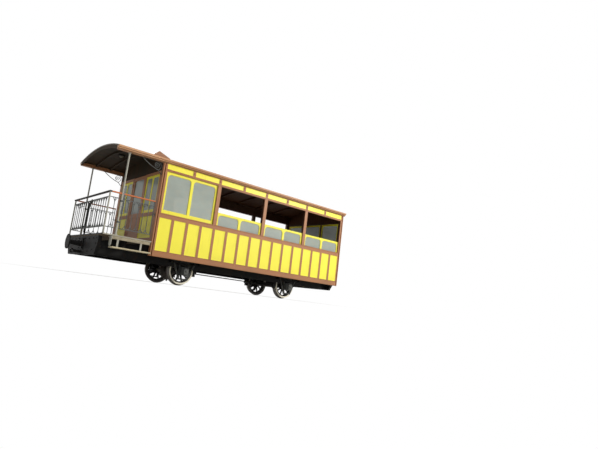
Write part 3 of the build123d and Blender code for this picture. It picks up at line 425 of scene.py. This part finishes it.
painted_wood("brown_paint", brown, 0.42, lengthwise, dirt=0.35, worn=0.5, inner=inside_brown_and_shade)
painted_wood(
    "cornice_paint", srgb(188, 136, 94), 0.42, lengthwise, dirt=0.0, worn=0.5, inner=inside_brown_and_shade,
    # Painted shadow under the cornice's lip and painted shade in its upper groove.
    painted_shade_lines=((3.077, 3.098, 0.8), (3.118, 3.134, 0.35)), front=srgb(210, 162, 122),
)
painted_wood("yellow_paint", yellow, 0.36, upright, dirt=0.2, worn=0.35)
boarding("interior_wood", srgb(88, 56, 34), 0.5, boards_lengthwise)
boarding(
    "ceiling_boards", srgb(92, 54, 30), 0.7, lengthwise, board=0.115, coat=0.0,
    # Darker over the platform and on the roof's arch there, as painted shade under the roof.
    front=srgb(48, 41, 22),
)
boarding("floor_boards", srgb(112, 98, 78), 0.75, boards_lengthwise, board=0.13, coat=0.0, worn=0.3)
boarding("step_wood", srgb(172, 162, 138), 0.72, boards_lengthwise, coat=0.0, worn=0.35)
boarding("pale_step", srgb(208, 196, 164), 0.72, boards_lengthwise, coat=0.0, worn=0.3)
rail_varnish()
# Black paint, made darker still as painted shade under the coach.
coated_iron("black_iron", srgb(20, 19, 18), 0.6, rusty=0.15, bright=3.0)
coated_iron("grey_iron", srgb(92, 94, 92), 0.5, rusty=0.15, bright=2.2)
coated_iron("pale_iron", srgb(184, 182, 170), 0.5, rusty=0.12, bright=1.2)
coated_iron("guard_iron", srgb(66, 68, 66), 0.55, rusty=0.25, bright=1.8)
edging_iron()
coated_iron("bare_steel", srgb(96, 90, 84), 0.5, rusty=0.5, metal=0.7)
canvas_roof()
pane("window_glass", srgb(172, 182, 175), alpha=0.8, roughness=0.12)
pane("lamp_glass", srgb(132, 126, 112), alpha=0.7, roughness=0.2)
tyre_steel("tyre_front", axles["front"])
tyre_steel("tyre_rear", axles["rear"])

# A solid takes its slot's finish, apart from these.
other_looks = {
    "cornices": "cornice_paint", "axle_guards": "guard_iron", "floor_edging": "edging_iron",
    # The roof's arches take the ceiling boards, so the arch at the platform end gets their painted
    # shade.
    "gables": "ceiling_boards", "roof_arches": "ceiling_boards", "ceiling": "ceiling_boards",
    "tyres_front": "tyre_front", "tyres_rear": "tyre_rear",
    "lower_steps": "pale_step", "platform_posts": "pale_iron", "step_hangers": "pale_iron",
}
for part in frame["record"]["subparts"]:
    thing = nodes[part["node"]]
    look = other_looks.get(part["node"], part["material_slot"])
    thing.data.materials.clear()
    thing.data.materials.append(finishes[look])


class Form:
    """A mesh in the making, from places in millimetres."""

    def __init__(self):
        self.work = bmesh.new()

    def skin(self, rings, closed=False):
        """Joins rings of points into one skin, with flat ends unless it closes on itself."""
        made = []
        for ring in rings:
            made.append([self.work.verts.new(Vector(point) / millimetres) for point in ring])
        pairs = list(zip(made, made[1:]))
        if closed:
            pairs.append((made[-1], made[0]))
        else:
            self.work.faces.new(reversed(made[0]))
            self.work.faces.new(made[-1])
        for first, second in pairs:
            for k in range(len(first)):
                after = (k + 1) % len(first)
                self.work.faces.new((first[k], first[after], second[after], second[k]))

    def bar(self, x0, x1, y0, y1, z0, z1, chamfer):
        """A bar with chamfered edges."""
        made = bmesh.ops.create_cube(self.work, size=0.001)["verts"]
        for vert in made:
            for axis, (low, high) in enumerate(((x0, x1), (y0, y1), (z0, z1))):
                vert.co[axis] = (low if vert.co[axis] < 0 else high) / millimetres
        edges = list(dict.fromkeys(edge for vert in made for edge in vert.link_edges))
        offset = chamfer / millimetres
        bmesh.ops.bevel(self.work, geom=edges, offset=offset, segments=1, affect="EDGES")

    def turned(self, place, axis, profile, sides=12):
        """A turned piece, from steps of (distance along its axis, radius)."""
        axis = Vector(axis).normalized()
        across = axis.orthogonal().normalized()
        square = axis.cross(across)
        rings = []
        for along, radius in profile:
            ring = []
            for k in range(sides):
                turn = math.tau * (k + 0.5) / sides
                spoke = across * math.cos(turn) + square * math.sin(turn)
                ring.append(Vector(place) + axis * along + spoke * radius)
            rings.append(ring)
        self.skin(rings)

    def strip(self, path, out, outline, closed=False):
        """Sweeps an outline of (inward, outward) steps along a flat path, with mitred corners."""
        out = Vector(out)
        path = [Vector(point) for point in path]
        count = len(path)
        rings = []
        for k, point in enumerate(path):
            ways = []
            if closed or k > 0:
                ways.append((point - path[k - 1]).normalized())
            if closed or k < count - 1:
                ways.append((path[(k + 1) % count] - point).normalized())
            along = (ways[0] + ways[-1]).normalized()
            inward = out.cross(along) / along.dot(ways[0])
            rings.append([point + inward * a + out * b for a, b in outline])
        self.skin(rings, closed)

    def bead(self, centre, out, path, outline):
        """Lays a bead on a wall that faces out, round a path given about its centre."""
        self.strip(on_wall(centre, out, path), out, outline, True)

    def piece(self, name, look, body="car"):
        """Ends the form: makes it an object that rides on a body."""
        bmesh.ops.recalc_face_normals(self.work, faces=self.work.faces)
        mesh = bpy.data.meshes.new(name)
        self.work.to_mesh(mesh)
        self.work.free()
        mesh.polygons.foreach_set("use_smooth", [True] * len(mesh.polygons))
        mesh.set_sharp_from_angle(angle=math.radians(40))
        mesh.materials.append(finishes[look])
        thing = bpy.data.objects.new(name, mesh)
        bpy.context.collection.objects.link(thing)
        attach(thing, body)
        return thing


def dome(form, place, out, radius, height):
    """A round screw or rivet head."""
    rise = ((0, 1), (0.45, 0.92), (0.8, 0.62), (1, 0.2))
    form.turned(place, out, [(height * a, radius * b) for a, b in rise], 10)


def bolt(form, place, out, radius, washer=True):
    """A hexagon head on a washer."""
    start = 0
    if washer:
        start = radius * 0.24
        rim = ((0, radius * 1.5), (radius * 0.2, radius * 1.5), (start, radius * 1.4))
        form.turned(place, out, rim, 14)
    top = start + radius * 0.75
    head = ((start, radius), (top - radius * 0.12, radius), (top, radius * 0.84))
    form.turned(place, out, head, 6)


def spokes(count, start=0):
    """Steps of length 1 evenly round a circle, from a turn of start degrees."""
    turns = [math.radians(start + 360 * k / count) for k in range(count)]
    return [(math.cos(turn), math.sin(turn)) for turn in turns]


def box_path(width, height):
    """Outline of a panel, anticlockwise."""
    half, top = width / 2, height / 2
    return [(-half, -top), (half, -top), (half, top), (-half, top)]


def light_path(width, height, radius, steps=6):
    """Outline of a window light with rounded upper corners, anticlockwise."""
    half, top = width / 2, height / 2
    out = [(-half, -top), (half, -top)]
    for centre, start in ((half - radius, 0), (radius - half, 90)):
        for k in range(steps + 1):
            turn = math.radians(start + 90 * k / steps)
            out.append((centre + radius * math.cos(turn), top - radius + radius * math.sin(turn)))
    return out


def on_wall(centre, out, outline):
    """Lays a flat outline on a wall that faces out."""
    right = (-Vector(out)).cross(Vector(up))
    return [Vector(centre) + right * u + Vector(up) * v for u, v in outline]


quarter_round = ((0, 0), (9, 0), (8, 3.5), (5, 6.5), (0, 8))
small_round = ((0, 0), (7, 0), (6.2, 2.8), (4, 5), (0, 6))
glass_bead = ((0, 0), (10, 0), (9, 4), (5.5, 7.5), (0, 9))


def panel_beads():
    """Quarter-round beads inside the lower panels and the frieze panels."""
    panel_z, panel_height = 1228, 848
    frieze_z, frieze_height = 3007, 140
    form = Form()
    for side in near_far:
        out = (0, side, 0)
        face = side * (wall - 10)
        for index in range(16):
            middle = first_panel + index * pitch + (pitch - batten) / 2
            path = box_path(pitch - batten, panel_height)
            form.bead((middle, face, panel_z), out, path, quarter_round)
        for index in range(8):
            middle = first_panel + index * 2 * pitch + (2 * pitch - batten) / 2
            path = box_path(2 * pitch - batten, frieze_height)
            form.bead((middle, face, frieze_z), out, path, small_round)
    form.piece("panel_beads", "yellow_paint")


def end_panel_beads():
    """The same beads round the panels of both end walls."""
    form = Form()
    for x, out, spans in ((-2808, -1, front_spans), (4020, 1, rear_spans)):
        for y0, y1 in spans:
            path = box_path(y1 - y0, end_panel_height)
            form.bead((x, (y0 + y1) / 2, end_panel_z), (out, 0, 0), path, quarter_round)
    form.piece("end_panel_beads", "yellow_paint")


def glazing_beads():
    """Beads that hold the panes in the sashes, inside and out."""
    form = Form()
    bay = 4 * pitch
    sash_start, post, sash_height, sash_top = 14, 110, 1105, 2880
    light = light_path(693.5, 958, 95)
    outer_face, inner_face = 52.5, 57.5            # of the pane, behind the wall's outside
    for index, drop in enumerate((0, 735, 735, 735)):
        middle = first_panel + sash_start + index * bay + (bay - post) / 2
        level = sash_top - drop - sash_height / 2 + 16.5
        for side in near_far:
            for shift in (-383.25, 383.25):
                for depth, way in ((outer_face, side), (inner_face, -side)):
                    centre = (middle + shift, side * (wall - depth), level)
                    form.bead(centre, (0, way, 0), light, glass_bead)
    stile, end_light_z, end_light_height = 48, 2306, 892
    for x, spans, lights in ((-2823, front_spans, 2), (3975, rear_spans, 1)):
        for y0, y1 in spans:
            width = (y1 - y0 - (lights + 1) * stile) / lights
            for k in range(lights):
                middle = y0 + stile + width / 2 + k * (width + stile)
                for place, way in ((x + 25.5, -1), (x + 30.5, 1)):
                    path = light_path(width, end_light_height, 70)
                    form.bead((place, middle, end_light_z), (way, 0, 0), path, glass_bead)
    form.piece("glazing_beads", "yellow_paint")


def door_beads():
    """Beads round the end door's light and panel, on both faces."""
    width, light_z, light_height = 618, 2295, 980
    form = Form()
    for place, way in ((-2798.5, -1), (-2793.5, 1)):
        path = light_path(width, light_height, 70)
        form.bead((place, 0, light_z), (way, 0, 0), path, glass_bead)
    for place, way in ((-2809, -1), (-2783, 1)):
        path = box_path(width, end_panel_height)
        form.bead((place, 0, end_panel_z), (way, 0, 0), path, small_round)
    form.piece("door_beads", "brown_paint", "end_door")


def door_plates():
    """The end door's lock plate, with the rim of its keyhole, and a kick plate."""
    door_face, lock_face, kick_face = -2816.6, -2820, -2818.5
    form = Form()
    form.bar(lock_face, door_face, -396, -330, 1900, 2060, 1)
    form.turned((lock_face, -350, 1925), forward, ((0, 11), (1.5, 11), (2, 9)), 14)
    form.bar(kick_face, door_face, -300, 300, 1022, 1096, 0.6)
    for y in (-285, 0, 285):
        for z in (1036, 1082):
            dome(form, (kick_face + 0.1, y, z), forward, 5, 2)
    form.piece("door_plates", "bare_steel", "end_door")


def batten_screws():
    """Painted screw heads along the battens, the window posts and the rails of both sides."""
    batten_levels, post_levels = (836, 1228, 1620), (1830, 2340, 2840)
    sill, waist = 700, 1700
    form = Form()
    for side in near_far:
        out = (0, side, 0)
        for index in range(1, 16):
            x = first_panel + index * pitch - batten / 2
            for z in batten_levels:
                dome(form, (x, side * wall, z), out, 6, 2.4)
        for index in range(1, 4):
            x = first_panel + index * 4 * pitch - batten / 2
            for z in post_levels:
                dome(form, (x - 22, side * wall, z), out, 6, 2.4)
                dome(form, (x + 22, side * wall, z), out, 6, 2.4)
        for index in range(33):
            x = first_panel + index * pitch / 2 - batten / 2
            if -2740 < x < 3960:
                dome(form, (x, side * wall, sill), out, 7, 2.6)
                dome(form, (x, side * wall, waist), out, 5.5, 2.2)
    form.piece("batten_screws", "brown_paint")


def frame_rivets():
    """Rivets and bolts of the underframe, the axle guards and the headstocks."""
    guard_face, beam_face, guard_leg = 958, 940, 136
    form = Form()
    for side in near_far:
        out = (0, side, 0)
        for axle_x in axles.values():
            for away in (-330, -250, -185, 185, 250, 330):
                dome(form, (axle_x + away, side * guard_face, 672), out, 12, 7)
            for leg in (-guard_leg, guard_leg):
                for z in (220, 300, 470):
                    dome(form, (axle_x + leg, side * guard_face, z), out, 10, 6)
        for x in range(-3900, 3950, 190):
            if min(abs(x - axle_x) for axle_x in axles.values()) > 470:
                dome(form, (x, side * beam_face, 668), out, 10, 6)
                dome(form, (x, side * beam_face, 512), out, 10, 6)
    beam_bolts = (
        (1130, 890), (1130, 760), (900, 890), (900, 600), (560, 890), (560, 560), (280, 890),
    )
    for x, way in ((-4070, -1), (4115, 1)):
        out = (way, 0, 0)
        for side in near_far:
            for y, z in beam_bolts:
                bolt(form, (x, side * y, z), out, 15)
            for z in (645, 875):
                bolt(form, (x + way * 24, side * 115, z), out, 14)
    form.piece("frame_rivets", "black_iron")


def spring_clips():
    """Straps round the leaf springs, with their bolts, and bolts on the shoes."""
    spring_y, strap_foot, strap_top = 1007.5, 570, 618
    form = Form()
    for axle_x in axles.values():
        for side in near_far:
            y = side * spring_y
            for x in (axle_x - 205, axle_x + 205):
                form.bar(x - 11, x + 11, y - 42, y + 42, strap_foot, strap_top, 2)
                bolt(form, (x, y, strap_top), up, 8, False)
            for shift in (-26, 26):
                bolt(form, (axle_x + shift, side * 1055, 560), (0, side, 0), 11)
            for away in (-441.3, 441.3):
                bolt(form, (axle_x + away, side * 1050, 641), (0, side, 0), 10)
    form.piece("spring_clips", "black_iron")


def box_covers():
    """Bolted caps on the axle boxes."""
    face = 1114.8
    cap = ((0, 46), (5, 46), (7, 43), (7, 30), (12, 28), (17, 22), (19, 12), (19.5, 3))
    form = Form()
    for axle_x in axles.values():
        for side in near_far:
            out = (0, side, 0)
            form.turned((axle_x, side * face, axle_z), out, cap, 24)
            for dx in (-50, 50):
                for dz in (-62, 62):
                    bolt(form, (axle_x + dx, side * face, axle_z + dz), out, 8)
    form.piece("box_covers", "grey_iron")


def wheel_rivets():
    """Rivets through the wheel rims and bolts round the hubs."""
    rim, hub = 300, 92                # radii of the two rings
    rim_face, hub_face = 795, 820
    for name, axle_x in axles.items():
        form = Form()
        for side in near_far:
            out = (0, side, 0)
            for u, v in spokes(20, 9):
                dome(form, (axle_x + rim * u, side * rim_face, axle_z + rim * v), out, 8, 5)
            for u, v in spokes(6):
                bolt(form, (axle_x + hub * u, side * hub_face, axle_z + hub * v), out, 9)
        form.piece("wheel_rivets_" + name, "black_iron", "wheelset_" + name)


def fork_collars(form, x, y):
    """A small collar at each height where a bar of the railing or of a gate forks."""
    for z in forks:
        form.turned((x, y, z + 4), up, ((0, 7.5), (2, 10), (8, 10.6), (14, 10), (16, 7.5)), 8)


def fence_collars():
    """Collars of the front railing and of the corner railings."""
    corner_radius, gate_collar, joint = 19, 36, 0.3
    form = Form()
    half = fence_y - corner_radius - joint
    for k in range(1, 16):
        fork_collars(form, corner_post_x, -half + 2 * half * k / 16)
    for side in near_far:
        middle = (corner_post_x + corner_radius + roof_post_x - gate_collar) / 2
        fork_collars(form, middle, side * fence_y)
    form.piece("fence_collars", "grey_iron")


def gate_fittings():
    """Collars and rivets of the side gates, and their latches with a knob outside."""
    gate_start, gate_end = -3675, -2872
    knob = ((0, 4), (14, 4), (18, 9), (26, 11), (33, 8), (36, 3))
    for name, side in zip(("near", "far"), near_far):
        form = Form()
        y = side * fence_y
        for k in range(1, 6):
            fork_collars(form, gate_start + (gate_end - gate_start) * k / 6, y)
        for z in (1280, 1340, 1785, 1845):
            dome(form, (-3700, side * 1413, z), (0, side, 0), 4.5, 3)
        form.bar(-2900, -2850, y - 5, y + 5, 1690, 1706, 1.5)
        form.bar(-2888, -2874, y - 12, y + 12, 1660, 1736, 2)
        form.turned((-2881, side * 1417, 1722), (0, side, 0), knob)
        form.piece("gate_fittings_" + name, "grey_iron", "gate_" + name)


def gate_keepers():
    """Plates on the body's corner posts that the gates' latches rest against."""
    plate_face = -2827
    form = Form()
    for side in near_far:
        y = side * fence_y
        form.bar(plate_face, -2822.5, y - 22, y + 22, 1650, 1746, 1)
        form.bar(-2843, -2826, y + side * 9, y + side * 15, 1682, 1714, 1)
        for z in (1662, 1734):
            dome(form, (plate_face, y, z), forward, 5, 2.5)
    form.piece("gate_keepers", "grey_iron")


def post_flanges():
    """Bolted flanges at the foot and the head of the roof posts and corner posts."""
    foot = ((0, 50), (8, 50), (10, 48), (12, 34), (26, 30), (28, 24))
    head = ((0, 44), (6, 44), (8, 42), (10, 30), (30, 25), (34, 21))
    corner_foot = ((0, 33), (7, 33), (9, 31), (10, 24), (24, 22), (26, 19))
    cornice_foot = 3077
    form = Form()
    for side in near_far:
        y = side * fence_y
        form.turned((roof_post_x, y, floor_top), up, foot, 20)
        form.turned((roof_post_x, y, cornice_foot), down, head, 20)
        form.turned((corner_post_x, y, floor_top), up, corner_foot, 18)
        for u, v in spokes(4, 45):
            dome(form, (roof_post_x + 40 * u, y + 40 * v, floor_top + 9.5), up, 5, 3)
    form.piece("post_flanges", "pale_iron")


def step_fittings():
    """Rivets and bolts of the step plates and hangers, and screws of the boards."""
    form = Form()
    for side in near_far:
        for x in (-3683, -3095):
            for z in (738, 880):
                dome(form, (x, side * 1503, z), (0, side, 0), 8, 4)
        for y, z in ((1380, 940), (1490, 940), (1490, 800), (1430, 760)):
            bolt(form, (-3849, side * y, z), forward, 9)
        for x in (-3780, -3480, -3180, -2900):
            for y, z in ((1490, 972), (1290, 972), (1520, 722), (1320, 722)):
                dome(form, (x, side * y, z), up, 6, 2)
    form.piece("step_fittings", "pale_iron")


def bench_screws():
    """Screws through the slats and back boards of the benches."""
    backs = ((-2745, (1,)), (-1071, near_far), (609, near_far), (2289, near_far), (3957, (-1,)))
    back, slat, gap = 15, 96, 12      # half the back's thickness, slat width and gap
    form = Form()
    for back_x, ways in backs:
        for side in near_far:
            for place in (342.5, 1342.5):
                for way in ways:
                    for k in range(4):
                        x = back_x + way * (back + slat / 2 + k * (slat + gap))
                        dome(form, (x, side * place, 1440), up, 6, 2)
                    for z in (1570, 1715, 1865):
                        dome(form, (back_x + way * back, side * place, z), (way, 0, 0), 6, 2)
    form.piece("bench_screws", "bare_steel")


def ceiling_lamp():
    """Round lamp under the platform roof: a dark rim, a milky bowl and a wire guard."""
    x = -3449
    high = max(corner[2] for corner in nodes["platform_lamp"].bound_box) * millimetres
    rim = ((0, 90), (5, 95), (18, 95), (24, 88), (30, 86), (34, 76), (34, 60))
    screw_ring, guard_radius, guard_depth = 94.5, 78, 66
    bowl_radius, bowl_depth = 68, 60
    body = Form()
    body.turned((x, 0, high), down, rim, 32)
    for u, v in spokes(3, 30):
        dome(body, (x + screw_ring * u, screw_ring * v, high - 11), (u, v, 0), 5, 3)
    wire = [(2.2 * u, 2.2 * v) for u, v in spokes(6)]
    for u, v in spokes(6)[:3]:
        path = []
        for k in range(13):
            sweep = math.radians(180 * k / 12)
            aside = Vector((u, v, 0)) * guard_radius * math.cos(sweep)
            below = Vector((0, 0, guard_depth * math.sin(sweep)))
            path.append(Vector((x, 0, high - 30)) + aside - below)
        body.strip(path, (-v, u, 0), wire)
    made = body.piece("platform_lamp_rim", "black_iron")
    rise = []
    for turn in (0, 15, 30, 45, 60, 75, 88):
        turn = math.radians(turn)
        rise.append((bowl_depth * math.sin(turn), bowl_radius * math.cos(turn)))
    bowl = Form()
    bowl.turned((x, 0, high - 33), down, rise, 32)
    glass = bowl.piece("platform_lamp_bowl", "lamp_glass")
    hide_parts("platform_lamp")
    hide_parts("platform_lamp")


def ventilator_trim():
    """Louvre slats, corner boards and a flashing round the neck of the ventilator."""
    x, neck = -2382, 150              # middle, and half the neck's width
    four_ways = ((-1, 0, 0), (1, 0, 0), (0, -1, 0), (0, 1, 0))
    form = Form()
    for level in range(4):
        for out in four_ways:
            centre = (x + out[0] * neck, out[1] * neck, 3418 + level * 32)
            path = on_wall(centre, out, ((-128, 0), (128, 0)))
            form.strip(path, out, ((0, 0), (18, 0), (-4, 14), (-8, 14)))
    for out in four_ways:
        for u in (-139, 139):
            centre = (x + out[0] * neck, out[1] * neck, 3380)
            path = on_wall(centre, out, ((u, 0), (u, 170)))
            form.strip(path, out, ((-9, 0), (9, 0), (9, 5), (-9, 5)))
    form.piece("ventilator_louvres", "brown_paint")
    rings = []
    for half, z in ((185, 3358), (185, 3368), (157, 3390), (155, 3398)):
        rings.append([(x + u, v, z) for u, v in box_path(2 * half, 2 * half)])
    skirt = Form()
    skirt.skin(rings)
    skirt.piece("ventilator_flashing", "roof_cover")


def brake_fittings():
    """Turned handle on the brake crank, a collar on the column and bolts at its foot."""
    x, y = -3900, 520
    foot = floor_top + 16
    top = floor_top + 880 + 14
    grip = ((6, 15.6), (12, 19), (40, 22), (70, 20), (92, 16), (98, 18), (102, 14), (103, 4))
    wood = Form()
    wood.turned((x, y - 154, top), up, grip, 20)
    wood.piece("brake_grip", "interior_wood")
    form = Form()
    for dx in (-48, 48):
        for dy in (-48, 48):
            bolt(form, (x + dx, y + dy, foot), up, 8)
    form.turned((x, y, foot), up, ((0, 44), (6, 42), (20, 28), (34, 24), (36, 22)), 20)
    form.turned((x, y, floor_top + 400), up, ((0, 22), (3, 28), (22, 28), (25, 22)), 20)
    bolt(form, (x, y, top), up, 12)
    form.piece("brake_fittings", "black_iron")


for build in (
    panel_beads, end_panel_beads, glazing_beads, door_beads, door_plates, batten_screws,
    frame_rivets, spring_clips, box_covers, wheel_rivets, fence_collars, gate_fittings,
    gate_keepers, post_flanges, step_fittings, bench_screws, ceiling_lamp, ventilator_trim,
    brake_fittings,
):
    build()


def pale_world():
    """Even light from all round; the lens, glass and gloss see plain white."""
    world = bpy.data.worlds.new("studio")
    bpy.context.scene.world = world
    world.use_nodes = True
    sky = Nodes(world.node_tree)
    light = sky.tree.nodes["Background"]
    light.inputs["Color"].default_value = plain_white
    light.inputs["Strength"].default_value = 0.27
    seen = sky.add("ShaderNodeBackground", {}, {"Color": plain_white, "Strength": 1.0})
    path = sky.add("ShaderNodeLightPath", {}, {}, "Is Camera Ray")
    for ray in ("Is Transmission Ray", "Is Glossy Ray"):
        path = path.most(sky.add("ShaderNodeLightPath", {}, {}, ray))
    sky.show(sky.blend(path, Value(sky, light.outputs[0]), seen), "World Output")


def studio_floor():
    """Pale floor that keeps the coach's shadow and fades into the white round it."""
    size = 90
    corners = [(-size, -size, 0), (size, -size, 0), (size, size, 0), (-size, size, 0)]
    mesh = bpy.data.meshes.new("studio_floor")
    mesh.from_pydata(corners, [], [(0, 1, 2, 3)])
    floor = bpy.data.objects.new("studio_floor", mesh)
    bpy.context.collection.objects.link(floor)
    look = Finish("studio_floor", (0.9, 0.9, 0.9, 1), 0.8)
    look.feed("Roughness", look.noise(0.6, detail=2.0) * 0.1 + 0.75)
    x, y, _ = look.parts()
    beyond = (abs(x) - 3.4).most(0)               # metres past the place that keeps the shadow
    beside = (abs(y - 1) - 1).most(0)
    away = (beyond ** 2 + beside ** 2) ** 0.5
    white = away.over(0.5, 3.2) * 0.7 + 0.3
    lens = look.add("ShaderNodeLightPath", {}, {}, "Is Camera Ray")
    glow = look.add("ShaderNodeEmission", {}, {"Color": plain_white, "Strength": 1.0})
    above = look.blend(lens * white, Value(look, look.shader.outputs[0]), glow)
    clear = look.add("ShaderNodeBsdfTransparent", {}, {})
    under = look.add("ShaderNodeNewGeometry", {}, {}, "Backfacing")
    look.show(look.blend(under, above, clear), "Material Output")
    mesh.materials.append(finishes["studio_floor"])


def soft_lamp(name, place, target, size, power, colour=(1, 1, 1)):
    """A square lamp that faces its target."""
    light = bpy.data.lights.new(name, "AREA")
    light.size = size
    light.energy = power
    light.color = colour
    thing = bpy.data.objects.new(name, light)
    bpy.context.collection.objects.link(thing)
    thing.location = place
    aim = Vector(target) - Vector(place)
    thing.rotation_euler = aim.to_track_quat("-Z", "Y").to_euler()


pale_world()
studio_floor()
soft_lamp("key", (22, -26, 13), (0, 0, 1.6), size=5.5, power=9400, colour=(1, 0.97, 0.92))
soft_lamp("fill", (-10, -9, 5), (-1, 0, 1.6), size=7, power=60)
soft_lamp("back", (1, 13, 9), (0, 0, 1.6), size=7, power=1000)

# The camera stands low in front of the platform, as the photograph's did.
camera_data = bpy.data.cameras.new("camera")
camera = bpy.data.objects.new("camera", camera_data)
bpy.context.collection.objects.link(camera)
camera.matrix_world = Matrix((
    (0.77319, -0.18973, -0.60512, -7.6359),
    (-0.62161, -0.03774, -0.78242, -12.4111),
    (0.12561, 0.98111, -0.14712, 0.0300),
    (0, 0, 0, 1),
))
camera_data.lens = 27.773
camera_data.sensor_width = 36
camera_data.shift_x = 0.0502
camera_data.shift_y = 0.0039
camera_data.clip_end = 200
bpy.context.scene.camera = camera
bpy.context.scene.view_settings.view_transform = "Standard"
